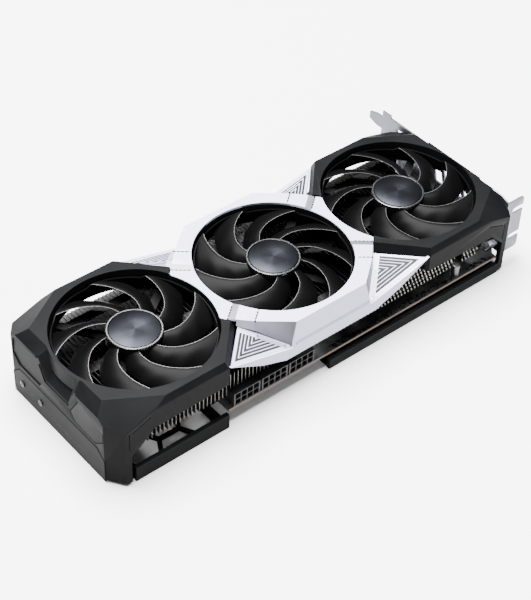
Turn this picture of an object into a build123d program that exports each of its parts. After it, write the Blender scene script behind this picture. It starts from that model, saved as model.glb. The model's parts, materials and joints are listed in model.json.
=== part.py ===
from build123d import *
import os
from math import cos, radians, sin

# Triple-fan graphics card, lying fan side up. Millimetres, +Z up. The origin is on the
# backplate's underside, on the middle fan's axis. +X runs to the I/O bracket, +Y to the
# edge connector, -Y to the power sockets.

# ---- driving dimensions ----
fan_pitch = 96.0
opening_r = 46.0          # fan opening in the shroud
duct_wall = 1.8
duct_low = 39.6
top_z = 50.0
half_width = 52.0
tail_end = 147.0          # middle fan's axis to the tail end face
bracket_end = 141.5       # middle fan's axis to the shroud's bracket end
edge_top = 140.8          # where the top face ends at both ends
wall = 2.2
end_wall = 3.9            # tail end wall, which the metal end plate is let into
foot_h = 1.6
gap = 0.4                 # parting gap between shroud pieces
cover_t = 1.5             # silver cover thickness
plate_t = 1.5             # backplate and end plate thickness
board_z = 10.0            # underside of the circuit board
board_t = 1.6
fin_bottom = 18.0
fin_top = 36.4
fin_half = 46.0
fin_pitch = 3.0
fin_t = 0.6
pipe_r = 3.0
pipe_z = 20.95
mount_low = 36.8          # underside of the fan mounts
mount_top = 39.4
rotor_low = 40.0
hub_r = 15.8
hub_wall = 1.5
hub_top = 47.3
cap_r = 14.9
cap_top = 48.8
cap_edge = 0.4
ring_r = 45.0             # outside of the blade-tip ring
ring_wall = 1.1
ring_top = 47.0
blade_count = 9
shaft_r = 1.5
running_gap = 0.03
bracket_x = 144.0         # outer face of the I/O bracket
bracket_t = 1.0
slot_pitch = 20.32
bracket_low = 6.4
bracket_high = 45.1
tab_y = -45.0
tab_reach = 157.0
finger_y = 61.0           # tip of the edge connector
beyond = 200.0            # longer than anything it cuts
past = 1.0                # how far a cut runs past the face that it opens
seat = 0.2                # clearance under the silver cover
screw_r = 1.25
head_r = 2.4

board_top = board_z + board_t
fan_x = {"tail": -fan_pitch, "middle": 0.0, "bracket": fan_pitch}
os.makedirs("parts", exist_ok=True)


def save(builder, node):
    """Label a finished sub-part and write it as its own STEP."""
    builder.part.label = node
    export_step(builder.part, f"parts/{node}.step")


def block(low, high, mode=Mode.ADD):
    """A box from its lowest corner to its highest."""
    middle = [(a + b) / 2 for a, b in zip(low, high)]
    with Locations(Location(tuple(middle))):
        Box(*[b - a for a, b in zip(low, high)], mode=mode)


def post(spot, low, high, radius, mode=Mode.ADD):
    """A round post at a plan position, from its low height to its high one."""
    with Locations((spot[0], spot[1], (low + high) / 2)):
        Cylinder(radius, high - low, mode=mode)


def prism(points, low, high, mode=Mode.ADD, grow=0.0):
    """A plan outline extruded between two heights, grown or shrunk all round."""
    with BuildSketch(Plane.XY.offset(low)) as outline:
        with BuildLine():
            Polyline(*points, close=True)
        make_face()
        if grow:
            offset(amount=grow, kind=Kind.INTERSECTION)
    extrude(outline.sketch, amount=high - low, mode=mode)


def side_cut(points):
    """Cut a side-view outline, given as x and z, right through in Y."""
    with BuildSketch(Plane.XZ) as view:
        with BuildLine():
            Polyline(*points, close=True)
        make_face()
    extrude(view.sketch, amount=beyond, both=True, mode=Mode.SUBTRACT)


def facet(points, thickness):
    """A flat plate whose outer face has these corners, anticlockwise from outside."""
    first, second, third = [Vector(*point) for point in points[:3]]
    along = second - first
    plane = Plane(origin=first, x_dir=along, z_dir=along.cross(third - first))
    corners = [plane.to_local_coords(Vector(*point)) for point in points]
    with BuildSketch(plane) as face:
        with BuildLine():
            Polyline(*[(corner.X, corner.Y) for corner in corners], close=True)
        make_face()
    extrude(face.sketch, amount=-thickness)


def four_ways(points):
    """An outline's first quadrant, anticlockwise, turned into all four."""
    upper = points + [(-x, y) for x, y in reversed(points)]
    return upper + [(x, -y) for x, y in reversed(upper)]


# ---- shroud: two dark ends ----
corner_low = 33.0         # |y| where a corner facet meets the end's top edge
corner_in = 112.0         # |x| where it meets the side's top edge
corner_side = 50.5
rim_drop = 4.0            # bevel along the long sides
rim_in = 2.0
joint_in = (50.6, 28.5)   # joint with the silver cover, inner and outer ends
joint_out = (73.0, 52.0)
joint_drop = 5.0
joint_bevel = 2.4
cover_corner = (55.3, 22.8)
cover_diagonal = (42.0, 36.1)
cover_shoulder = (25.0, 49.6)
cover_outline = four_ways([cover_corner, cover_diagonal, cover_shoulder])


def facet_planes(side, corner_slope, end_slope):
    """Outward planes that shape one end of the shroud, as a point and a normal each."""
    planes = []
    for way in (-1, 1):
        along = Vector(corner_in - edge_top, corner_side - corner_low, 0)
        out = Vector(along.Y, -along.X, 0).normalized()
        normal = (side * out.X, way * out.Y, 1 / corner_slope)
        planes.append(((side * edge_top, way * corner_low), normal))
        planes.append(((0, way * (half_width - rim_in)), (0, way, rim_in / rim_drop)))
        along = Vector(joint_out[0] - joint_in[0], joint_out[1] - joint_in[1], 0)
        out = Vector(-along.Y, along.X, 0).normalized()
        start = Vector(*joint_in, 0) - out * joint_bevel
        normal = (side * out.X, way * out.Y, joint_bevel / joint_drop)
        planes.append(((side * start.X, way * start.Y), normal))
    if end_slope:
        planes.append(((side * edge_top, 0), (side, 0, 1 / end_slope)))
    return planes


def shroud_solid(side, end, chamfer, slopes, inset, end_inset, low):
    """One end of the shroud before it is hollowed, or the hollow when inset."""
    corners = [
        (end, half_width - chamfer[1]),
        (end - chamfer[0], half_width),
        joint_out,
        joint_in,
        (cover_corner[0] + gap, cover_corner[1] + gap),
    ]
    outline = corners + [(x, -y) for x, y in reversed(corners)]
    with BuildPart() as solid:
        prism([(side * x, y) for x, y in outline], low, top_z - inset, grow=-inset)
        for spot, normal in facet_planes(side, *slopes):
            face = Vector(*normal).normalized()
            start = Vector(*spot, top_z) - face * inset
            split(bisect_by=Plane(origin=start, z_dir=face), keep=Keep.BOTTOM)
        end_face = Plane(origin=(side * (end - end_inset), 0, 0), z_dir=(side, 0, 0))
        split(bisect_by=end_face, keep=Keep.BOTTOM)
    return solid.part


def hollow_shroud(side, solid, hollow, window):
    """Shell of one end, with its windows in the long sides."""
    add(solid)
    add(hollow, mode=Mode.SUBTRACT)
    side_cut([(side * x, z) for x, z in window])


def duct(x, low, high):
    """The round wall that a fan turns in."""
    post((x, 0), low, high, opening_r + duct_wall)
    post((x, 0), low - 1, high + 1, opening_r, mode=Mode.SUBTRACT)


valley_mouth = [(24, 58), (18.5, 46.5), (10.8, 31.0), (-10.8, 31.0), (-18.5, 46.5), (-24, 58)]
valley_throat = [(15, 58), (13.0, 52.0), (6.5, 43.0), (-6.5, 43.0), (-13.0, 52.0), (-15, 58)]
valley_run = 9.0          # length of the valley, inwards from the tail end face
valley_backing = (10.0, 46.0, 24.0)   # solid behind it: length, width, lowest height
bore_low = 25.0           # where the fan's bore through that backing starts
end_plate_outline = [
    (42.2, 0.0), (42.2, 15.0), (36.0, 20.6), (-36.0, 20.6), (-42.2, 15.0), (-42.2, 0.0),
]
end_screws = ((34.2, 11.0), (16.6, 10.7))
end_bore = 20.0
end_screw_l = 4.0
end_head = (1.9, 0.6)     # radius and height of an end screw's head
tail_slopes = (0.68, 0.8)
bracket_slopes = (0.55, None)
tail_chamfer = (7.0, 9.7)
bracket_chamfer = (2.5, 4.0)
tail_window = [
    (40, -1), (136.4, -1), (136.4, 21), (127, 28), (121.7, 32.9), (71.6, 33.6),
    (71, 39.5), (40, 39.5),
]
bracket_window = [
    (40, -1), (135.4, -1), (135.4, 23), (125.1, 32.5), (76, 34.2), (71.6, 34.2),
    (71, 39.5), (40, 39.5),
]
bracket_mouth = (4.0, 46.0, 43.0)     # opening behind the bracket: depth, half width, height

tail_solid = shroud_solid(-1, tail_end, tail_chamfer, tail_slopes, 0, 0, foot_h)
tail_hollow = shroud_solid(-1, tail_end, tail_chamfer, tail_slopes, wall, end_wall, -1)
backing_middle = (-tail_end + valley_backing[0] / 2, 0, valley_backing[2] + top_z / 2)
tail_backing = tail_solid & Pos(*backing_middle) * Box(valley_backing[0], valley_backing[1], top_z)
bracket_solid = shroud_solid(1, bracket_end, bracket_chamfer, bracket_slopes, 0, 0, foot_h)
bracket_hollow = shroud_solid(1, bracket_end, bracket_chamfer, bracket_slopes, wall, wall, -1)



def across_at(x):
    """A plane across the card at x, for outlines given as y and z."""
    return Plane(origin=(x, 0, 0), x_dir=(0, 1, 0), z_dir=(1, 0, 0))


with BuildPart() as tail_shroud:
    hollow_shroud(-1, tail_solid, tail_hollow, tail_window)
    add(tail_backing)
    ends = []
    for x, outline in ((-tail_end - past, valley_mouth), (-tail_end + valley_run, valley_throat)):
        with BuildSketch(across_at(x)) as section:
            with BuildLine():
                Polyline(*outline, close=True)
            make_face()
        ends.append(section.sketch.face())
    loft(sections=ends, ruled=True, mode=Mode.SUBTRACT)
    duct(-fan_pitch, duct_low, top_z)
    post((-fan_pitch, 0), bore_low, top_z + past, opening_r, mode=Mode.SUBTRACT)
    prism(cover_outline, top_z - cover_t - seat, top_z + past, mode=Mode.SUBTRACT, grow=gap)
    with BuildSketch(across_at(-tail_end)):
        with BuildLine():
            Polyline(*end_plate_outline, close=True)
        make_face()
        offset(amount=gap, kind=Kind.INTERSECTION)
    extrude(amount=plate_t, mode=Mode.SUBTRACT)
    with Locations(*[Pos(-tail_end, y, z) * Rot(0, 90, 0) for y, z in end_screws]):
        Cylinder(screw_r, end_bore, mode=Mode.SUBTRACT)
save(tail_shroud, "tail_shroud")

with BuildPart() as bracket_shroud:
    hollow_shroud(1, bracket_solid, bracket_hollow, bracket_window)
    depth, half, height = bracket_mouth
    low = (bracket_end - depth, -half, -past)
    block(low, (bracket_end + past, half, height), mode=Mode.SUBTRACT)
    duct(fan_pitch, duct_low, top_z)
    block((bracket_end, -beyond, 0), (beyond, beyond, top_z + past), mode=Mode.SUBTRACT)
    prism(cover_outline, top_z - cover_t - seat, top_z + past, mode=Mode.SUBTRACT, grow=gap)
save(bracket_shroud, "bracket_shroud")

# ---- shroud: middle duct, silver cover and its ribbed wings ----
brim_low = 46.8           # underside of the middle duct's brim, which carries the cover
brim_inset = 2.4
with BuildPart() as middle_duct:
    prism(cover_outline, brim_low, top_z - cover_t - seat, grow=-brim_inset)
    for x in (-fan_pitch, fan_pitch):
        post((x, 0), duct_low, top_z, opening_r + duct_wall + gap, mode=Mode.SUBTRACT)
    duct(0, duct_low, top_z - cover_t - seat)
save(middle_duct, "middle_duct")

apron_foot = (28.5, 34.0)     # where the apron's faces meet the upright lip
shoulder_foot = (42.7, 36.8, 43.4)
skirt_top = (49.6, 28.5)      # end of the short skirt below each diagonal edge
skirt_foot = (50.07, 28.97, 45.6)
lip_low = 27.4
lip_outline = [
    (-72.0, 45.6), (-50.0, 33.8), (-33.0, lip_low), (33.0, lip_low), (50.0, 33.8), (72.0, 45.6),
    apron_foot, (-apron_foot[0], apron_foot[1]),
]
wing_top = (50.4, 30.6, 45.0)
wing_end = (70.5, 50.3, 45.1)
wing_foot = (29.6, 50.3, 34.4)
wing_shoulder = (43.0, 37.6, 42.0)


def quadrant_facet(points, side, way, thickness):
    """A plate in one quadrant, from its corners in the +X +Y one, clockwise from outside."""
    corners = [(side * x, way * y, z) for x, y, z in points]
    facet(corners, -side * way * thickness)


with BuildPart() as silver_cover:
    prism(cover_outline, top_z - cover_t, top_z)
    for x in fan_x.values():
        post((x, 0), duct_low, top_z + 1, opening_r, mode=Mode.SUBTRACT)
    for way in (-1, 1):
        foot = [(side * apron_foot[0], half_width, apron_foot[1]) for side in (-1, 1)]
        edge = [(side * cover_shoulder[0], cover_shoulder[1], top_z) for side in (1, -1)]
        quadrant_facet(foot + edge, 1, way, cover_t)
        with BuildSketch(Plane.XZ.offset(-way * half_width)) as lip:
            with BuildLine():
                Polyline(*lip_outline, close=True)
            make_face()
        extrude(lip.sketch, amount=way * cover_t)
        for side in (-1, 1):
            corners = [
                (*cover_shoulder, top_z), (*cover_diagonal, top_z),
                shoulder_foot, (apron_foot[0], half_width, apron_foot[1]),
            ]
            quadrant_facet(corners, side, way, -cover_t)
            corners = [(*cover_diagonal, top_z), (*skirt_top, top_z), skirt_foot, shoulder_foot]
            quadrant_facet(corners, side, way, -cover_t)
save(silver_cover, "silver_cover")


def wings(way):
    """The two triangular wings of one long side, between the cover and the dark ends."""
    with BuildPart() as panels:
        for side in (-1, 1):
            quadrant_facet([wing_top, wing_end, wing_foot, wing_shoulder], side, way, -cover_t)
    return panels


for row, way in (("front", -1), ("rear", 1)):
    save(wings(way), f"wings_{row}")

# ---- backplate, end plate, feet ----
plate_half = 49.4
cell_side = 13.0          # honeycomb window's hexagons, side length
strut = 2.6
cell_rise = cell_side * 3 ** 0.5
window_middle = (-106.5, 0.0)
window_size = (59.0, 87.4)
socket_notch = (-71.0, 0.5, -33.0)
name_bar = (-134.0, -72.0, 10.0)
long_bar = (0.0, 135.2, 7.0)
bar_t = 2.6
plate_end = -tail_end + plate_t + 0.2
plate_corners = [
    (plate_end, -41), (-136, -plate_half), (135, -plate_half), (135.4, -45.6), (138.5, -45.6),
    (138.5, 45.6), (135.4, 45.6), (135, plate_half), (-136, plate_half), (plate_end, 41),
]
standoff_spots = [
    (-64, 44), (-5, 44), (60, 44), (128, 40), (128, -44), (60, -45), (8, -45), (-66, 0),
]
standoff_r = 2.6
head_h = 1.2
hex_places = [
    (-101.0 + 1.5 * cell_side * column, -cell_rise * 2.1 + (row + column % 2 / 2) * cell_rise)
    for column in range(-2, 3) for row in range(-1, 6)
]

with BuildSketch() as cells:
    with Locations(*hex_places):
        RegularPolygon(cell_side - strut / 3 ** 0.5, 6)
    with Locations(window_middle):
        Rectangle(*window_size, mode=Mode.INTERSECT)

with BuildPart() as backplate:
    prism(plate_corners, 0, plate_t)
    extrude(cells.sketch, amount=plate_t, mode=Mode.SUBTRACT)
    low_x, high_x, depth = socket_notch
    block((low_x, -beyond, -past), (high_x, depth, board_z), mode=Mode.SUBTRACT)
    for low_x, high_x, high_z in (name_bar, long_bar):
        block((low_x, -half_width, 0), (high_x, -half_width + bar_t, high_z))
    for spot in standoff_spots:
        post(spot, -past, plate_t + past, screw_r, mode=Mode.SUBTRACT)
        with Locations((*spot, head_h / 2)):
            Cone(head_r, screw_r, head_h, mode=Mode.SUBTRACT)
save(backplate, "backplate")

with BuildPart() as end_plate:
    with BuildSketch(across_at(-tail_end)) as outline:
        with BuildLine():
            Polyline(*end_plate_outline, close=True)
        make_face()
        with Locations(*end_screws):
            Circle(screw_r, mode=Mode.SUBTRACT)
    extrude(outline.sketch, amount=plate_t)
save(end_plate, "end_plate")

with BuildPart() as end_plate_screws:
    for y, z in end_screws:
        with Locations(Location((-tail_end + end_screw_l / 2, y, z), (0, 90, 0))):
            Cylinder(screw_r, end_screw_l)
        with Locations(Location((-tail_end - end_head[1] / 2, y, z), (0, 90, 0))):
            Cylinder(*end_head)
save(end_plate_screws, "end_plate_screws")

tail_foot = [(-145.3, 43.3), (-140.3, 51.1), (-136.9, 51.1), (-136.9, 49.7), (-145.0, 42.4)]
bracket_foot = [(136.2, 46.4), (140.9, 46.4), (140.9, 48.6), (138.8, 51.4), (136.2, 51.4)]
with BuildPart() as corner_feet:
    for outline in (tail_foot, bracket_foot):
        for way in (-1, 1):
            prism([(x, way * y) for x, y in outline], 0, foot_h)
save(corner_feet, "corner_feet")

with BuildPart() as standoff_set:
    for spot in standoff_spots:
        post(spot, plate_t, board_z, standoff_r)
        post(spot, plate_t - past, board_z + past, screw_r, mode=Mode.SUBTRACT)
save(standoff_set, "standoffs")

sunk = 0.1                # how far a countersunk head lies below the backplate's face
with BuildPart() as backplate_screws:
    for spot in standoff_spots:
        post(spot, 2 * sunk, board_z - past, screw_r)
        with Locations((*spot, (head_h + sunk) / 2)):
            Cone(head_r - sunk, screw_r - sunk, head_h - sunk)
save(backplate_screws, "backplate_screws")

# ---- circuit board and what it carries ----
board_left = -71.0
board_front = -50.0
board_rear = 51.5
key_x = (85.0, 86.9)
edge_x = (13.4, 98.6)
chip_middle = (38.0, 0.0)
clamp_reach = (25.5, 26.0)
clamp_holes = [
    (chip_middle[0] + dx * clamp_reach[0], chip_middle[1] + dy * clamp_reach[1])
    for dx in (-1, 1) for dy in (-1, 1)
]
clamp_play = 0.4          # the board's holes are this much wider than the clamp screws
key_start = 53.0          # where the key notch starts in the board's edge
board_outline = [
    (board_left, board_front), (134.8, board_front), (134.8, -46.5), (138.5, -43), (138.5, 43),
    (134.8, 46.5), (134.8, board_rear), (edge_x[1], board_rear), (edge_x[1], finger_y),
    (edge_x[0], finger_y), (edge_x[0], board_rear), (board_left, board_rear),
]

with BuildPart() as circuit_board:
    prism(board_outline, board_z, board_top)
    block((key_x[0], key_start, 0), (key_x[1], finger_y + past, top_z), mode=Mode.SUBTRACT)
    for spot in clamp_holes:
        post(spot, 0, top_z, screw_r + clamp_play, mode=Mode.SUBTRACT)
save(circuit_board, "circuit_board")

contact_t = 0.1
contact_y = (54.5, 60.4)
contact_in = 0.5          # bare board beside the contacts
contact_runs = (
    (edge_x[0] + contact_in, key_x[0] - contact_in),
    (key_x[1] + contact_in, edge_x[1] - contact_in),
)
with BuildPart() as edge_contacts:
    for low_x, high_x in contact_runs:
        for low_z in (board_top, board_z - contact_t):
            block((low_x, contact_y[0], low_z), (high_x, contact_y[1], low_z + contact_t))
save(edge_contacts, "edge_contacts")

package_half = (22.5, 22.5)
package_top = 12.9
die_half = (12.5, 10.5)
die_top = 13.8
plate_low = 13.9          # underside of the copper base, on the paste
plate_high = 17.9


def over_chip(half, low, high, mode=Mode.ADD):
    """A block centred over the chip, from its half sizes and two heights."""
    x, y = chip_middle
    block((x - half[0], y - half[1], low), (x + half[0], y + half[1], high), mode=mode)


chip_layers = {
    "gpu_package": (package_half, board_top, package_top),
    "gpu_die": (die_half, package_top, die_top),
    "thermal_paste": (die_half, die_top, plate_low),
}
for node, layer in chip_layers.items():
    with BuildPart() as chip_layer:
        over_chip(*layer)
    save(chip_layer, node)

memory_size = (12.0, 14.0, 1.2)
memory_top = board_top + memory_size[2]
memory_reach = 34.0
memory_rows = (-24, -8, 8, 24)
memory_spots = [
    (chip_middle[0] + side * memory_reach, chip_middle[1] + dy)
    for side in (-1, 1) for dy in memory_rows
]
with BuildPart() as memory_chips:
    with Locations(*[(*spot, board_top + memory_size[2] / 2) for spot in memory_spots]):
        Box(*memory_size)
save(memory_chips, "memory_chips")

with BuildPart() as thermal_pads:
    with Locations(*[(*spot, (memory_top + plate_low) / 2) for spot in memory_spots]):
        Box(memory_size[0], memory_size[1], plate_low - memory_top)
save(thermal_pads, "thermal_pads")

choke_size = (7.0, 7.0, 5.2)
choke_pitch = 8.0
choke_rows = ((-34.0, 8), (104.0, 4))   # x of a row of chokes, and how many it has
choke_spots = [
    (x, choke_pitch * (number - (count - 1) / 2))
    for x, count in choke_rows for number in range(count)
]
with BuildPart() as chokes:
    with Locations(*[(*spot, board_top + choke_size[2] / 2) for spot in choke_spots]):
        Box(*choke_size)
save(chokes, "power_chokes")

stage_size = (5.0, 6.0, 0.9)
stage_shift = 8.0
stage_height = board_top + stage_size[2] / 2
with BuildPart() as power_stages:
    with Locations(*[(x - stage_shift, y, stage_height) for x, y in choke_spots]):
        Box(*stage_size)
save(power_stages, "power_stages")

can_r = 2.5
can_round = 0.4
cans = {                  # height of a can: where such cans stand
    8.0: [(103.0, -46.6)],
    5.6: [(-50, -10), (-50, 0), (-50, 10), (-50, 20), (112, 8), (112, -8)],
}
with BuildPart() as capacitors:
    for tall, spots in cans.items():
        for spot in spots:
            post(spot, board_top, board_top + tall, can_r)
    tops = capacitors.edges().filter_by(GeomType.CIRCLE)
    fillet([edge for edge in tops if edge.center().Z > board_top + past], can_round)
save(capacitors, "capacitors")

# ---- power sockets: 4 by 2 cells each, with their pins ----
socket_x = (-58.4, -39.0, -19.6)
socket_size = (18.4, 12.0, 9.2)
cell_pitch = 4.2
cell_open = 3.5
cell_depth = 10.0
cell_grid = [
    (dx * cell_pitch, dz * cell_pitch)
    for dx in (-1.5, -0.5, 0.5, 1.5) for dz in (-0.5, 0.5)
]
pin_half = 0.5
pin_start = 3.0           # how deep in its cell a pin's tip is
socket_z = board_top + socket_size[2] / 2


def socket(x):
    """A right-angle power socket with its cells open towards -Y."""
    with BuildPart() as housing:
        block(
            (x - socket_size[0] / 2, board_front, board_top),
            (x + socket_size[0] / 2, board_front + socket_size[1], board_top + socket_size[2]),
        )
        for dx, dz in cell_grid:
            half = cell_open / 2
            block(
                (x + dx - half, board_front - past, socket_z + dz - half),
                (x + dx + half, board_front + cell_depth, socket_z + dz + half),
                mode=Mode.SUBTRACT,
            )
    return housing


for number, x in enumerate(socket_x, 1):
    save(socket(x), f"power_socket_{number}")

with BuildPart() as socket_pins:
    for x in socket_x:
        for dx, dz in cell_grid:
            block(
                (x + dx - pin_half, board_front + pin_start, socket_z + dz - pin_half),
                (x + dx + pin_half, board_front + cell_depth, socket_z + dz + pin_half),
            )
save(socket_pins, "power_socket_pins")

# ---- cooler ----
base_half = (27.0, 21.5)
base_hole = (27.1, 21.6)
frame_half = (42.0, 33.0)
frame_t = 2.0
clamp_size = (80.0, 7.0, 1.4)
clamp_top = 9.6
clamp_head = 1.6
with BuildPart() as copper_base:
    over_chip(base_half, plate_low, plate_high)
save(copper_base, "copper_base")

with BuildPart() as memory_plate:
    over_chip(frame_half, plate_low, plate_low + frame_t)
    over_chip(base_hole, 0, top_z, mode=Mode.SUBTRACT)
    for spot in clamp_holes:
        post(spot, 0, top_z, screw_r, mode=Mode.SUBTRACT)
save(memory_plate, "memory_plate")

clamp_low = clamp_top - clamp_size[2]
with BuildPart() as clamp_bracket:
    for angle in (45, -45):
        with Locations(Location((*chip_middle, clamp_low + clamp_size[2] / 2), (0, 0, angle))):
            Box(*clamp_size)
    for spot in clamp_holes:
        post(spot, 0, top_z, screw_r + 0.1, mode=Mode.SUBTRACT)
save(clamp_bracket, "clamp_bracket")

with BuildPart() as clamp_screws:
    for spot in clamp_holes:
        post(spot, clamp_low - clamp_head, clamp_low, head_r)
        post(spot, clamp_low, plate_low + frame_t, screw_r)
save(clamp_screws, "clamp_screws")

pipe_y = (-25.0, -15.0, -5.0, 5.0, 15.0, 25.0)
pipe_x = (-136.0, 121.0)
with BuildPart() as heat_pipes:
    pipe_middle = (pipe_x[0] + pipe_x[1]) / 2
    with Locations(*[Location((pipe_middle, y_place, pipe_z), (0, 90, 0)) for y_place in pipe_y]):
        Cylinder(pipe_r, pipe_x[1] - pipe_x[0])
save(heat_pipes, "heat_pipes")

fin_profile = [
    (-fin_half, fin_bottom), (fin_half, fin_bottom), (fin_half, 33.0), (fin_half - 4, fin_top),
    (4 - fin_half, fin_top), (-fin_half, 33.0),
]
rail_y = (-34.0, 0.0, 34.0)
rail_half = 2.0
rail_tops = (fin_top, 27.6)   # each row of folded tabs is a fin's thickness deep
fin_notches = (
    ((-70, -47, 10), (-8, -37, 21.8)),    # room for the power sockets
    ((99, -47, 10), (107, -42, 40)),      # room for the tall can
)


def fin_stack(low_x, count):
    """Plates across the card, joined by their folded tabs, bored for the heat pipes."""
    with BuildPart() as stack:
        with BuildSketch(across_at(low_x)) as plate:
            with BuildLine():
                Polyline(*fin_profile, close=True)
            make_face()
            with Locations(*[(y_place, pipe_z) for y_place in pipe_y]):
                Circle(pipe_r, mode=Mode.SUBTRACT)
        fin = extrude(plate.sketch, amount=fin_t)
        with Locations(*[(fin_pitch * number, 0, 0) for number in range(1, count)]):
            add(fin)
        high_x = low_x + fin_pitch * (count - 1) + fin_t
        for y_place in rail_y:
            for rail_top in rail_tops:
                low = (low_x, y_place - rail_half, rail_top - fin_t)
                block(low, (high_x, y_place + rail_half, rail_top))
        for notch in fin_notches:
            block(*notch, mode=Mode.SUBTRACT)
    return stack


save(fin_stack(-135.0, 45), "fin_stack_tail")
save(fin_stack(1.6, 41), "fin_stack_bracket")

# ---- fans ----
blade_sections = [(15.0, 38.0, 0.0), (25.0, 28.0, 14.0), (35.0, 21.0, 31.0), (46.5, 16.0, 50.0)]
blade_t = 1.2
blade_low = 40.5
blade_high = 46.8
tip_r = 44.4
magnet_r = 12.9
magnet_low = 40.6
magnet_high = 45.6
core_r = 12.3
sleeve_r = 3.4
post_r = 4.6
post_top = 45.0
sleeve_low = mount_low + 1.6
sleeve_top = 44.8
shaft_low = mount_low + 2.0
shaft_top = 47.0
mount_ring = (45.2, 47.7)
mount_disc_r = 15.0
mount_strut = (32.5, 5.0, 1.8)
mount_strut_at = 30.0         # radius of a strut's middle
mount_strut_angles = (35, 125, 215, 305)
stator_teeth = 9
stator_slot = (7.0, 2.4, 8.0)
stator_slot_at = (10.0, 43.0)  # radius and height of a slot's middle
rim_lift = 0.4                # the tip ring starts this much above the rotor's underside
blade_keep = 4.0              # the trimming cylinder is this many blade heights tall


def blade(x, turn):
    """One swept, pitched blade, lofted outwards through its sections."""
    sections = []
    for radius, pitch, sweep in blade_sections:
        rise = blade_high - blade_low
        chord = rise / sin(radians(pitch))
        half_turn = chord * cos(radians(pitch)) / 2 / radius
        angle = turn * (radians(sweep) - half_turn)
        out = Vector(cos(angle), sin(angle), 0)
        along = Vector(-sin(angle), cos(angle), 0) * turn * cos(radians(pitch))
        along += Vector(0, 0, sin(radians(pitch)))
        start = Vector(x, 0, (blade_low + blade_high) / 2) + out * radius
        with BuildSketch(Plane(origin=start, x_dir=along, z_dir=out)) as section:
            Rectangle(chord, blade_t)
        sections.append(section.sketch.face())
    with BuildPart() as one:
        loft(sections=sections, ruled=True)
    height = blade_keep * (blade_high - blade_low)
    return one.part & Pos(x, 0, blade_low) * Cylinder(tip_r, height)


def rotor(x, turn):
    """Impeller: hub, swept blades and the ring that ties their tips."""
    single = blade(x, turn)
    with BuildPart() as wheel:
        post((x, 0), rotor_low, hub_top, hub_r)
        post((x, 0), rotor_low - past, hub_top - hub_wall, hub_r - hub_wall, mode=Mode.SUBTRACT)
        for number in range(blade_count):
            add(single.rotate(Axis((x, 0, 0), (0, 0, 1)), number * 360 / blade_count))
        with BuildSketch(Plane.XY.offset(rotor_low + rim_lift)) as rim:
            with Locations((x, 0)):
                Circle(ring_r)
                Circle(ring_r - ring_wall, mode=Mode.SUBTRACT)
        extrude(rim.sketch, amount=ring_top - rotor_low - rim_lift)
        post((x, 0), rotor_low - past, shaft_top, shaft_r, mode=Mode.SUBTRACT)
    return wheel


def ring(x, low, high, inner, outer):
    """A plain round ring."""
    with BuildPart() as part:
        post((x, 0), low, high, outer)
        post((x, 0), low - past, high + past, inner, mode=Mode.SUBTRACT)
    return part


mount_reach = {"tail": (-136.7, beyond), "middle": (-beyond, beyond), "bracket": (-beyond, 140.7)}


def fan_mount(x, reach):
    """Fixed frame of one fan: base disc, bearing post, struts and outer ring."""
    with BuildPart() as frame:
        post((x, 0), mount_low, mount_top, mount_ring[1])
        post((x, 0), mount_low - past, mount_top + past, mount_ring[0], mode=Mode.SUBTRACT)
        for angle in mount_strut_angles:
            across = mount_strut_at * cos(radians(angle))
            up = mount_strut_at * sin(radians(angle))
            middle = (x + across, up, mount_low + mount_strut[2] / 2)
            with Locations(Location(middle, (0, 0, angle))):
                Box(*mount_strut)
        post((x, 0), mount_low, mount_top, mount_disc_r)
        post((x, 0), mount_low, post_top, post_r)
        post((x, 0), sleeve_low, post_top + past, sleeve_r, mode=Mode.SUBTRACT)
        block((reach[1], -beyond, 0), (reach[1] + beyond, beyond, top_z), mode=Mode.SUBTRACT)
        block((reach[0] - beyond, -beyond, 0), (reach[0], beyond, top_z), mode=Mode.SUBTRACT)
    return frame


def stator(x):
    """Slotted iron core of the motor, around the bearing post."""
    with BuildPart() as core:
        post((x, 0), magnet_low, post_top, core_r)
        post((x, 0), magnet_low - past, post_top + past, post_r, mode=Mode.SUBTRACT)
        radius, height = stator_slot_at
        for number in range(stator_teeth):
            angle = 360 * number / stator_teeth
            middle = (x + radius * cos(radians(angle)), radius * sin(radians(angle)), height)
            with Locations(Location(middle, (0, 0, angle))):
                Box(*stator_slot, mode=Mode.SUBTRACT)
    return core


for name, x in fan_x.items():
    turn = -1 if name == "middle" else 1
    save(rotor(x, turn), f"fan_rotor_{name}")
    with BuildPart() as cap:
        post((x, 0), hub_top, cap_top, cap_r)
        chamfer(cap.faces().sort_by(Axis.Z)[-1].edges(), cap_edge)
    save(cap, f"fan_cap_{name}")
    with BuildPart() as shaft:
        post((x, 0), shaft_low, shaft_top, shaft_r)
    save(shaft, f"fan_shaft_{name}")
    save(ring(x, magnet_low, magnet_high, magnet_r, hub_r - hub_wall), f"fan_magnet_{name}")
    save(stator(x), f"fan_stator_{name}")
    bearing = ring(x, sleeve_low, sleeve_top, shaft_r + running_gap, sleeve_r)
    save(bearing, f"fan_bearing_{name}")
    save(fan_mount(x, mount_reach[name]), f"fan_mount_{name}")

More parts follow.
